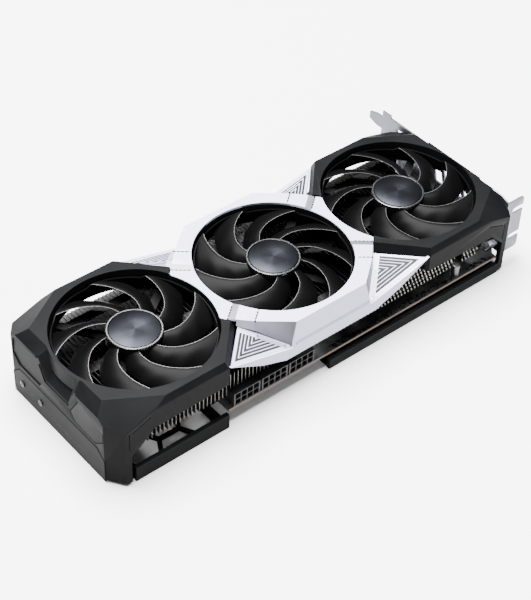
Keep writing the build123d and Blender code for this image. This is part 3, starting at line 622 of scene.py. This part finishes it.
def buildCover():
    shape = welded("silver_cover")
    for normal in ((1, 0, 0), (0, 1, 0)):
        parts = shape.verts[:] + shape.edges[:] + shape.faces[:]
        bmesh.ops.bisect_plane(
            shape, geom=parts, plane_co=(0, 0, 0), plane_no=normal, clear_inner=True,
        )
    hollowShoulder(shape)
    turn = math.radians(cover["collarAngle"])
    aside = Vector((math.sin(turn), -math.cos(turn), 0))
    inner = Vector((*cover["collarInner"], 0)) * mm
    outer = Vector((*cover["collarOuter"], 0)) * mm
    seam = cover["seam"] * mm
    drop = cover["armDrop"] * mm
    bevelStart = outer - aside * cover["collarBevel"] * mm
    cuts = [inner - aside * seam, inner, inner + aside * seam, bevelStart]
    cuts += [outer - aside * seam, outer, outer + aside * seam]
    for spot in cuts:
        parts = shape.verts[:] + shape.edges[:] + shape.faces[:]
        bmesh.ops.bisect_plane(shape, geom=parts, plane_co=spot, plane_no=aside, dist=near / 10)
    top = cadHigh.z
    for vert in shape.verts:
        if vert.co.z < top - 5 * near:
            continue
        vert.co.z -= cover["dashRise"] * mm
        past = (vert.co - bevelStart).dot(aside)
        width = (outer - bevelStart).dot(aside)
        if vert.co.y < cover["armReach"] * mm or past > 0:
            vert.co.z -= drop * min(1.0, max(0.0, past / width))
        for spot in (inner, outer):
            if abs((vert.co - spot).dot(aside)) < 2 * near:
                vert.co.z -= cover["seamDepth"] * mm
    for axis in ("X", "Y"):
        parts = shape.verts[:] + shape.edges[:] + shape.faces[:]
        bmesh.ops.mirror(shape, geom=parts, merge_dist=near, axis=axis)
    tidyNormals(shape)
    width = (outer - inner).dot(aside)
    for face in shape.faces:
        middle = face.calc_center_median()
        middle = Vector((abs(middle.x), abs(middle.y), middle.z))
        along = (middle - inner).dot(aside)
        steep = abs(face.normal.z) < cover["steep"]
        onBevel = width - cover["collarBevel"] * mm < along < width
        high = middle.z > top - cover["facetDepth"] * mm
        # Sloped collar-bevel faces near the top take the darker silver: painted shade.
        if onBevel and high and not steep and middle.y > cover["facetFrom"] * mm:
            face.material_index = 1
        slanted = min(abs(face.normal.x), abs(face.normal.y)) > cover["slanted"]
        reachX, reachY = cover["shoulderReach"]
        # Steep slanted shoulder faces take the painted shade gradient.
        if steep and slanted and middle.x < reachX * mm and middle.y > reachY * mm:
            face.material_index = 2
    materials = [finishes["silver_plastic"], silverPaintedShade, shoulderPaintedShade]
    made = piece("silver_frame", shape, materials, "card", ["silver_cover"])
    roundEdges(made, cover["edge"])


def buildDashes():
    shape = bmesh.new()
    turn = math.radians(cover["collarAngle"])
    ahead = Vector((math.cos(turn), math.sin(turn), 0))
    drops = {"collarInner": 0.0, "collarOuter": cover["armDrop"]}
    for key, (low, high) in cover["dashRuns"].items():
        for number in range(int((high - low) / cover["dashPitch"])):
            for side in (-1, 1):
                for way in (-1, 1):
                    away = low + cover["dashPitch"] * (number + 0.5)
                    spot = Vector((*cover[key], 0)) + ahead * away
                    height = cadHigh.z / mm - drops[key] - cover["dashRise"]
                    spot = Vector((side * spot.x, way * spot.y, height)) * mm
                    facing = Matrix.Rotation(math.atan2(way * ahead.y, side * ahead.x), 4, "Z")
                    depth = 2 * cover["dashRise"]
                    size = Matrix.Diagonal((cover["dash"] * mm, cover["dashWidth"] * mm, depth * mm, 1))
                    matrix = Matrix.Translation(spot) @ facing @ size
                    bmesh.ops.create_cube(shape, size=1.0, matrix=matrix)
    piece("collar_dashes", shape, [darkLineAndPaintedShade], "card")


buildCover()
buildDashes()
print("silver cover built")

# Ribbed wings.
wing = {
    "corners": [(50.4, 30.6, 45.0), (70.5, 50.3, 45.1), (29.6, 50.3, 34.4), (43.0, 37.6, 42.0)],
    "border": 1.5,
    "borderEdge": 0.15,
    "ribPitch": 1.9,
    "ribShare": 0.74,
    "ribs": 14,
    "ribHeight": 0.2,
    "thickness": 1.2,
    "tuck": 1.5,
    "innerBand": 2.3,
    "sharp": 20.0,
    "ridgeSlack": 0.04,
    "stepSlack": 0.01,
}


def buildWings(way, row):
    shape = bmesh.new()
    for side in (-1, 1):
        corners = [Vector((side * x, way * y, z)) * mm for x, y, z in wing["corners"]]
        joint, tip, foot, shoulder = corners
        normal = (tip - joint).cross(foot - joint).normalized()
        normal *= 1 if normal.z > 0 else -1
        corners = [spot - normal * wing["ribHeight"] * mm for spot in corners]
        joint, tip, foot, shoulder = corners
        innerWay = normal.cross(shoulder - foot).normalized()
        innerWay *= 1 if innerWay.dot(tip - foot) > 0 else -1
        tucked = [spot - innerWay * wing["tuck"] * mm for spot in (foot, shoulder, joint)]
        before = set(shape.faces)
        start = [shape.verts.new(spot) for spot in (joint, tip, foot, *tucked)]
        bmesh.ops.contextual_create(shape, geom=start)
        inwards = []
        for first, second in ((joint, tip), (tip, foot)):
            inward = normal.cross(second - first).normalized()
            inward *= 1 if inward.dot(shoulder + (foot + joint) / 2 - 2 * first) > 0 else -1
            inwards.append(inward)
        halfway = (inwards[0] - inwards[1]).normalized()
        fresh = lambda: [face for face in shape.faces if face not in before]

        def slicePlane(region, spot, facing):
            parts = region + list({edge for face in region for edge in face.edges})
            if region:
                bmesh.ops.bisect_plane(
                    shape, geom=parts, plane_co=spot, plane_no=facing, dist=near / 10,
                )

        slicePlane(fresh(), tip, halfway)
        bandEdge = foot + innerWay * wing["innerBand"] * mm
        slicePlane(fresh(), bandEdge, innerWay)
        steps = [wing["border"] - wing["borderEdge"]]
        for number in range(wing["ribs"]):
            for share in (0, wing["ribShare"], (1 + wing["ribShare"]) / 2):
                steps.append(wing["border"] + wing["ribPitch"] * (number + share))
        for inward in inwards:
            other = inwards[1] if inward is inwards[0] else inwards[0]
            for step in steps:
                region = []
                for face in fresh():
                    middle = face.calc_center_median()
                    nearer = (middle - tip).dot(inward) < (middle - tip).dot(other)
                    if nearer and (middle - bandEdge).dot(innerWay) > 0:
                        region.append(face)
                slicePlane(region, tip + inward * step * mm, inward)

        def reach(spot):
            away = min((spot - tip).dot(inward) for inward in inwards) / mm
            return (away - wing["border"]) / wing["ribPitch"]

        for vert in {vert for face in fresh() for vert in face.verts}:
            number = reach(vert.co)
            share = number - math.floor(number + wing["stepSlack"])
            ridge = abs(share - (1 + wing["ribShare"]) / 2) < wing["ridgeSlack"]
            onBorder = number < -2 * wing["stepSlack"]
            if onBorder or ridge or (vert.co - bandEdge).dot(innerWay) < near:
                vert.co += normal * wing["ribHeight"] * mm
        # The groove faces between the ribs take the dark painted shade.
        for face in fresh():
            middle = face.calc_center_median()
            number = reach(middle)
            ribbed = number > 0 and (middle - bandEdge).dot(innerWay) > 0
            if ribbed and number % 1.0 < wing["ribShare"]:
                face.material_index = 1
        base = bmesh.ops.extrude_face_region(shape, geom=fresh())["geom"]
        lowered = [part for part in base if isinstance(part, bmesh.types.BMVert)]
        bmesh.ops.translate(shape, verts=lowered, vec=-normal * wing["thickness"] * mm)
    tidyNormals(shape)
    materials = [finishes["silver_plastic"], wingPaintedShade]
    name = "ribbed_wings_" + row
    piece(name, shape, materials, "card", ["wings_" + row], wing["sharp"])


buildWings(-1, "front")
buildWings(1, "rear")
print("wings built")

# Knurled bands below the name face and up the wings' inner edges.
band = {
    "pitch": 1.1,
    "share": 0.45,
    "lean": 35.0,
    "width": 2.0,
    "height": 0.24,
    "base": 0.03,
    "baseShare": 0.97,
    "nameHeight": 36.2,
    "nameReach": 27.5,
    "nameFace": ((49.6, 50.0), (52.0, 34.0)),
    "inset": 1.0,
    "footGap": 0.1,
}


def knurl(shape, base, start, end, out):
    count = int((end - start).length / (band["pitch"] * mm))
    ahead = (end - start).normalized()
    turn = Matrix((ahead, out.cross(ahead), out)).transposed().to_4x4()
    lean = Matrix.Rotation(math.radians(band["lean"]), 4, "Z")
    length = band["pitch"] * band["share"] * mm
    size = Matrix.Diagonal((length, band["width"] * mm, band["height"] * mm, 1))
    reach = (end - start).length * band["baseShare"]
    strip = Matrix.Diagonal((reach, band["width"] * mm, band["base"] * 2 * mm, 1))
    middle = Matrix.Translation((start + end) / 2)
    bmesh.ops.create_cube(base, size=1.0, matrix=middle @ turn @ strip)
    for number in range(1, count - 1):
        spot = start + (end - start) * (number + 0.5) / count
        matrix = Matrix.Translation(spot) @ turn @ lean @ size
        bmesh.ops.create_cube(shape, size=1.0, matrix=matrix)


def buildBands():
    shape, base = bmesh.new(), bmesh.new()
    (topY, topZ), (footY, footZ) = band["nameFace"]
    slope = (footY - topY) / (topZ - footZ)
    for way in (-1, 1):
        height = band["nameHeight"]
        out = Vector((0, way, slope)).normalized()
        depth = way * (footY - (height - footZ) * slope)
        ends = [Vector((side * band["nameReach"], depth, height)) * mm for side in (-1, 1)]
        knurl(shape, base, *ends, out)
        for side in (-1, 1):
            corners = [Vector((side * x, way * y, z)) * mm for x, y, z in wing["corners"]]
            joint, tip, foot, shoulder = corners
            out = (tip - joint).cross(foot - joint).normalized()
            out *= 1 if out.z > 0 else -1
            inward = out.cross(shoulder - foot).normalized()
            inward *= 1 if inward.dot(tip - foot) > 0 else -1
            inward *= band["inset"] * mm
            reach = (shoulder - foot) * band["footGap"]
            knurl(shape, base, foot + inward + reach, shoulder + inward, out)
    # The strips under the knurls are in the darker silver: painted shade.
    piece("knurled_band_painted_shade", base, [silverPaintedShade], "card")
    piece("knurled_bands", shape, [finishes["silver_plastic"]], "card")


buildBands()

# Fans.
fan = {
    # radius in millimetres, pitch and sweep in degrees
    "sections": [(14.6, 38.0, 0.0), (25.0, 28.0, 14.0), (35.0, 21.0, 31.0), (46.5, 16.0, 50.0)],
    "low": 40.6,
    "high": 46.9,
    "tip": 44.3,
    "blades": 9,
    "noseThickness": 1.5,
    "tailThickness": 0.5,
    "camber": 0.9,
    "stations": 18,
    "around": 24,
    "paintedHighlightBand": 0.045,
    "ring": (43.9, 45.0),
    "ringLow": 40.4,
    "ringTop": 47.0,
    "ringEase": 0.3,
    "ringSteps": 144,
    "sawDrop": 1.7,
    "sawRise": 12,
    "tipPower": 8,
    "nosePower": 0.6,
    "hub": [
        (0.02, 47.3), (14.9, 47.3), (15.5, 47.15), (15.8, 46.7), (15.8, 40.2),
        (15.5, 40.0), (14.3, 40.0), (14.3, 45.8), (0.02, 45.8),
    ],
    "hubSteps": 72,
    "sharp": 40.0,
}
cap = {
    "disc": [(0.02, 48.62), (6.0, 48.7), (13.7, 48.76), (14.0, 48.65), (14.05, 48.2), (0.02, 48.2)],
    "trim": [
        (14.35, 47.32), (14.35, 48.45), (14.55, 48.62), (15.2, 48.62),
        (15.55, 48.4), (15.62, 47.95), (15.62, 47.32), (14.35, 47.32),
    ],
    "steps": 96,
    "sharp": 30.0,
    "colour": (0.003, 0.0032, 0.0039),
    "roughness": 0.3,
}


# Pitch or sweep in degrees at a radius, between the blade's listed sections.
def between(radius, column):
    rows = fan["sections"]
    for first, second in zip(rows, rows[1:]):
        if radius <= second[0]:
            share = (radius - first[0]) / (second[0] - first[0])
            share = share * share * (3 - 2 * share) if column == 1 else share
            return first[column] + (second[column] - first[column]) * share
    return rows[-1][column]


def bladeSpot(x, turn, radius, chordShare, side, number):
    pitch = math.radians(between(radius, 1))
    rise = fan["high"] - fan["low"]
    reach = rise / math.tan(pitch)
    sweep = math.radians(between(radius, 2))
    swell = fan["noseThickness"] - fan["tailThickness"]
    thickness = fan["tailThickness"] + swell * chordShare ** fan["nosePower"]
    ends = math.sqrt(max(0.0, 1 - (2 * chordShare - 1) ** fan["tipPower"]))
    offset = side * thickness / 2 * ends
    bend = fan["camber"] * 4 * chordShare * (1 - chordShare)    # highest at half the chord
    run = (chordShare - 0.5) * reach - reach / 2 - (offset + bend) * math.sin(pitch)
    height = fan["low"] + rise * chordShare + (offset + bend) * math.cos(pitch)
    height = min(height, fan["high"])
    angle = turn * (sweep + run / radius) + math.tau * number / fan["blades"]
    return Vector((x + radius * mm * math.cos(angle), radius * mm * math.sin(angle), height * mm))


def buildRotor(name, x, turn):
    shape = bmesh.new()
    for number in range(fan["blades"]):
        grid = bmesh.ops.create_grid(
            shape, x_segments=fan["stations"], y_segments=fan["around"], size=0.5,
        )["verts"]
        # Faces along the leading edge take the lighter painted highlight.
        for face in {face for vert in grid for face in vert.link_faces}:
            nearNose = abs(face.calc_center_median().y) > 0.5 - fan["paintedHighlightBand"]
            face.material_index = 1 if nearNose else 0
        for vert in grid:
            radius = fan["sections"][0][0] + (fan["tip"] - fan["sections"][0][0]) * (vert.co.x + 0.5)
            circle = math.tau * (vert.co.y + 0.5)
            chordShare = 0.5 + 0.5 * math.cos(circle)
            vert.co = bladeSpot(x, turn, radius, chordShare, math.sin(circle), number)
    bmesh.ops.remove_doubles(shape, verts=shape.verts, dist=2 * near)
    lathe(shape, fan["hub"], (x, 0), fan["hubSteps"])
    before = set(shape.verts)
    low, high = fan["ringLow"], fan["ringTop"]
    inner, outer = fan["ring"]
    ease = fan["ringEase"]
    lathe(shape, [
        (inner, low), (outer, low), (outer, high - ease), (outer - ease, high),
        (inner + ease, high), (inner, high - ease), (inner, low),
    ], (x, 0), fan["ringSteps"])
    noseAngle = math.radians(between(fan["tip"], 2))
    for vert in shape.verts:
        if vert not in before and vert.co.z > (high - 1) * mm:
            angle = turn * math.atan2(vert.co.y, vert.co.x - x) - noseAngle
            share = (angle / math.tau * fan["blades"]) % 1.0
            vert.co.z -= fan["sawDrop"] * mm * (1 - share) * min(1.0, fan["sawRise"] * share)
    tidyNormals(shape)
    materials = [finishes["fan_plastic"], bladePaintedHighlight]
    body, replaced = "fan_" + name, ["fan_rotor_" + name]
    piece("impeller_" + name, shape, materials, body, replaced, fan["sharp"])


def buildCap(name, x):
    shape = bmesh.new()
    lathe(shape, cap["disc"], (x, 0), cap["steps"])
    tidyNormals(shape)
    materials = [spunFinish("spunDisc_" + name, cap["colour"], cap["roughness"], x)]
    body, replaced = "fan_" + name, ["fan_cap_" + name]
    piece("hub_disc_" + name, shape, materials, body, replaced, cap["sharp"])
    shape = bmesh.new()
    lathe(shape, cap["trim"], (x, 0), cap["steps"])
    tidyNormals(shape)
    piece("hub_trim_" + name, shape, [hubTrim], body, (), cap["sharp"])


for fanName in ("tail", "middle", "bracket"):
    low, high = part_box("fan_cap_" + fanName)
    fanX = round((low.x + high.x) / 2, 4)
    buildRotor(fanName, fanX, -1 if fanName == "middle" else 1)
    buildCap(fanName, fanX)
print("fans built")

# Fin stacks.
fins = {
    "pitch": 2.6,
    "thickness": 0.3,
    "flange": 0.45,
    "flangeDepth": 0.35,
    "low": 18.0,
    "top": 36.4,
    "half": 46.0,
    "shoulderWidth": 4,
    "shoulderZ": 33.0,
    "socketNotch": (-70.0, -8.0, -37.3, 21.8),
    "canNotch": (99.0, 107.0, -42.0),
    "plainFlange": (0.5, 32.6),
    "tabRows": (18.7, 21.7, 24.7, 27.7, 30.7),
    "tabHeight": 1.9,
    "tabLength": 0.7,
    "tabLean": 24.0,
    "tabOffset": (0.5, 0.9),
    "ties": (-34.0, 0.0, 34.0),
    "tieHalf": 3,
    "tieDepth": 0.3,
}


# A fin's outline in Y and Z, notched for the power sockets and the cans.
def finOutline(x):
    half, low, top = fins["half"], fins["low"], fins["top"]
    wide, shoulderZ = fins["shoulderWidth"], fins["shoulderZ"]
    start, end, notchY, notchZ = fins["socketNotch"]
    front = [(-half, low)]
    if start <= x <= end:
        front = [(notchY, low), (notchY, notchZ), (-half, notchZ)]
    shoulder = [(-half, shoulderZ), (wide - half, top)]
    start, end, notchY = fins["canNotch"]
    if start <= x <= end:
        front, shoulder = [(notchY, low)], [(notchY, top)]
    return front + shoulder + [(half - wide, top), (half, shoulderZ), (half, low)]


def buildFins(name, tabbed):
    low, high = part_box("fin_stack_" + name)
    shape, tabs = bmesh.new(), bmesh.new()
    count = int((high.x - low.x) / mm / fins["pitch"])
    for number in range(count):
        x = low.x / mm + number * fins["pitch"]
        outline = finOutline(x)
        corners = [shape.verts.new((x * mm, y * mm, z * mm)) for y, z in outline]
        face = bmesh.ops.contextual_create(shape, geom=corners)["faces"]
        made = bmesh.ops.extrude_face_region(shape, geom=face)["geom"]
        moved = [part for part in made if isinstance(part, bmesh.types.BMVert)]
        bmesh.ops.translate(shape, verts=moved, vec=(fins["thickness"] * mm, 0, 0))
        frontY, frontLow = outline[0]
        if len(outline) > 6:
            frontY, frontLow = -fins["half"], outline[1][1]
        sides = [(frontY, frontLow, 1), (fins["half"], fins["low"], -1)]
        for y, bottom, inward in sides:
            near, far = sorted((y, y + inward * fins["flangeDepth"]))
            if not tabbed:
                rise, flangeTop = fins["plainFlange"]
                brick(tabs, (x, near, bottom + rise), (x + fins["flange"], far, flangeTop))
                continue
            for row, z in enumerate(fins["tabRows"]):
                start = x + (fins["pitch"] / 2 if row % 2 else 0)
                aheadX, aheadZ = fins["tabOffset"]
                middle = Vector((start + aheadX, (near + far) / 2, z + aheadZ)) * mm
                lean = Matrix.Rotation(math.radians(-fins["tabLean"]), 4, "Y")
                size = (fins["tabLength"] * mm, (far - near) * mm, fins["tabHeight"] * mm, 1)
                matrix = Matrix.Translation(middle) @ lean @ Matrix.Diagonal(size)
                bmesh.ops.create_cube(tabs, size=1.0, matrix=matrix)
        half, top = fins["tieHalf"], fins["top"]
        for y in fins["ties"]:
            brick(shape, (x, y - half, top - fins["tieDepth"]), (x + fins["pitch"], y + half, top))
    tidyNormals(shape)
    # The fins are in the dark copy of the aluminium, painted shade; the tabs keep the plain aluminium.
    piece("fin_tabs_" + name, tabs, [finishes["fin_aluminium"]], "card")
    piece("fins_" + name, shape, [finPaintedShade], "card", ["fin_stack_" + name])


buildFins("tail", False)
buildFins("bracket", True)
print("fin stacks built")

# Circuit board with its small parts.
boardSet = {
    "seed": 7,
    "small": 120,
    "reach": (2.0, 132.0),
    "rows": (-48.8, -47.6, -46.4),
    "lengths": (1.0, 1.6),
    "height": 0.45,
    "endHeight": 0.5,
    "endWidth": 0.18,
    "keepOut": (99, 107),
}


def buildBoard():
    shape = welded("circuit_board")
    for face in shape.faces:
        face.material_index = 0 if abs(face.normal.z) > 0.5 else 1
    piece("board_laminate", shape, [finishes["board"], boardEdge], "card", ["circuit_board"])
    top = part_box("circuit_board")[1].z / mm
    picker = random.Random(boardSet["seed"])
    bodies, ends = bmesh.new(), bmesh.new()
    for number in range(boardSet["small"]):
        x = picker.uniform(*boardSet["reach"])
        y = picker.choice(boardSet["rows"])
        long = picker.choice(boardSet["lengths"])
        wide = long * 0.5
        if boardSet["keepOut"][0] < x < boardSet["keepOut"][1]:
            continue
        low, high = y - wide / 2, y + wide / 2
        brick(bodies, (x, low, top), (x + long, high, top + boardSet["height"]))
        past = boardSet["endWidth"]
        for start in (x - past, x + long):
            brick(ends, (start, low, top), (start + past, high, top + boardSet["endHeight"]))
    piece("chip_parts", bodies, [finishes["chip_black"]], "card")
    piece("chip_part_ends", ends, [finishes["can_metal"]], "card")


buildBoard()

contactSet = {"pitch": 1.0, "width": 0.7, "start": 0.15, "depth": 0.1, "key": (84.4, 87.5)}


def buildContacts():
    low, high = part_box("edge_contacts")
    keyLow, keyHigh = contactSet["key"]
    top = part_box("circuit_board")[1].z / mm
    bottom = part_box("circuit_board")[0].z / mm
    shape = bmesh.new()
    count = int((high.x - low.x) / mm / contactSet["pitch"])
    for number in range(count):
        x = low.x / mm + contactSet["pitch"] * (number + contactSet["start"])
        if keyLow < x + contactSet["width"] and x < keyHigh:
            continue
        depth = contactSet["depth"]
        for z in (top, bottom - depth):
            brick(shape, (x, low.y / mm, z), (x + contactSet["width"], high.y / mm, z + depth))
    piece("contact_fingers", shape, [finishes["gold"]], "card", ["edge_contacts"])


buildContacts()
print("board built")

# Parts whose edges are eased.
eased = {
    "backplate": 0.0003, "end_plate": 0.00022, "io_bracket": 0.00022, "corner_feet": 0.0003,
    "power_socket_1": 0.00018, "power_socket_2": 0.00018, "power_socket_3": 0.00018,
    "memory_chips": 0.0001, "power_chokes": 0.0004, "power_stages": 0.00015, "copper_base": 0.0003,
    "middle_duct": 0.0003, "capacitors": 0.0003,
}
for nodeName, width in eased.items():
    slotName = slotOf[nodeName]
    materials = [finishes[slotName]]
    copy = piece(nodeName + "_eased", welded(nodeName, False), materials, "card", [nodeName])
    roundEdges(copy, width)
print("edges eased:", len(eased))

# Screws with driver recesses.
screws = {
    "spots": [(-147.0, 34.2, 11.0), (-147.0, 16.6, 10.7)],
    "radius": 1.9,
    "height": 0.5,
    "sides": 24,
    "lip": 0.2,
    "lipDepth": 0.1,
    "flat": 0.35,
    "recess": 0.58,
    "waist": 0.45,
    "recessDepth": 0.6,
}


def screwHead(shape, spot, axis):
    radius, height = screws["radius"], screws["height"]
    ring = bmesh.ops.create_circle(shape, cap_ends=True, segments=screws["sides"], radius=radius * mm)
    verts = ring["verts"]
    made = bmesh.ops.extrude_face_region(shape, geom=list(verts[0].link_faces))["geom"]
    top = [part for part in made if isinstance(part, bmesh.types.BMVert)]
    bmesh.ops.translate(shape, verts=top, vec=(0, 0, height * mm))
    lid = [part for part in made if isinstance(part, bmesh.types.BMFace)]
    lip, lipDepth = screws["lip"] * mm, screws["lipDepth"] * mm
    bmesh.ops.inset_region(shape, faces=lid, thickness=lip, depth=lipDepth)
    bmesh.ops.inset_region(shape, faces=lid, thickness=radius * screws["flat"] * mm, depth=0)
    for number, vert in enumerate(sorted(lid[0].verts, key=lambda v: math.atan2(v.co.y, v.co.x))):
        away = 1.0 if number % 6 in (2, 3) else screws["waist"]
        angle = math.atan2(vert.co.y, vert.co.x)
        vert.co.x = radius * screws["recess"] * mm * away * math.cos(angle)
        vert.co.y = radius * screws["recess"] * mm * away * math.sin(angle)
    sunk = -height * screws["recessDepth"] * mm
    bmesh.ops.inset_region(shape, faces=lid, thickness=2 * near, depth=sunk)
    members = set(verts)
    grown = set(verts)
    while grown:
        grown = {edge.other_vert(vert) for vert in grown for edge in vert.link_edges} - members
        members |= grown
    turn = Vector((0, 0, 1)).rotation_difference(Vector(axis)).to_matrix().to_4x4()
    place = Matrix.Translation(Vector(spot) * mm) @ turn
    bmesh.ops.transform(shape, matrix=place, verts=list(members))


def buildScrews():
    shape = bmesh.new()
    for spot in screws["spots"]:
        screwHead(shape, spot, (-1, 0, 0))
    tidyNormals(shape)
    materials = [finishes["black_steel"]]
    piece("end_screw_heads", shape, materials, "card", ["end_plate_screws"])


buildScrews()
print("screws built")

# Floor, light and camera.
ground = {"size": 3.0, "drop": 0.2, "colour": (0.42, 0.42, 0.423)}
floorShape = bmesh.new()
bmesh.ops.create_grid(floorShape, x_segments=1, y_segments=1, size=ground["size"])
bmesh.ops.translate(floorShape, verts=floorShape.verts, vec=(0, 0, cadLow.z - ground["drop"] * mm))
floor = loose("floor", floorShape, floorFinish("paleFloor", ground["colour"]))

studio = {
    "world": 0.3,
    "worldColour": (0.95, 0.95, 1.0, 1.0),
    "lights": [
        ("overhead", (0.0, 0.35, 1.7), (0, 0, 0), 1.6, 660.0),
        ("tailSide", (-1.5, 0.3, 0.55), (-0.1, 0, 0.02), 0.8, 10.0),
        ("front", (-0.2, -1.5, 0.5), (0, 0, 0.0), 0.9, 26.0),
    ],
}
world = bpy.data.worlds.new("studio")
world.use_nodes = True
sky = world.node_tree.nodes["Background"]
sky.inputs["Color"].default_value = studio["worldColour"]
sky.inputs["Strength"].default_value = studio["world"]
bpy.context.scene.world = world
for lightName, spot, aim, size, power in studio["lights"]:
    lamp = bpy.data.lights.new(lightName, "AREA")
    lamp.size = size
    lamp.energy = power
    holder = bpy.data.objects.new(lightName, lamp)
    holder.location = spot
    holder.rotation_mode = "QUATERNION"
    holder.rotation_quaternion = (Vector(aim) - Vector(spot)).to_track_quat("-Z", "Y")
    bpy.context.scene.collection.objects.link(holder)

shot = {
    "azimuth": -41.5,
    "elevation": 42.79,
    "roll": 2.663,
    "target": (-0.02757, -0.02634, 0.05),
    "distance": 0.8478,
    "lens": 93.83,
}
azimuth, elevation = math.radians(shot["azimuth"]), math.radians(shot["elevation"])
level = math.cos(elevation)
back = Vector((math.sin(azimuth) * level, -math.cos(azimuth) * level, math.sin(elevation)))
right = Vector((math.cos(azimuth), math.sin(azimuth), 0))
up = back.cross(right)
roll = math.radians(shot["roll"])
right, up = right * math.cos(roll) + up * math.sin(roll), up * math.cos(roll) - right * math.sin(roll)
lens = bpy.data.cameras.new("camera")
lens.lens = shot["lens"]
lens.sensor_width = 36.0
lens.clip_start, lens.clip_end = 0.01, 20.0
camera = bpy.data.objects.new("camera", lens)
place = Matrix((right, up, back)).transposed().to_4x4()
place.translation = Vector(shot["target"]) + back * shot["distance"]
camera.matrix_world = place
bpy.context.scene.collection.objects.link(camera)
bpy.context.scene.camera = camera
print("stage set")
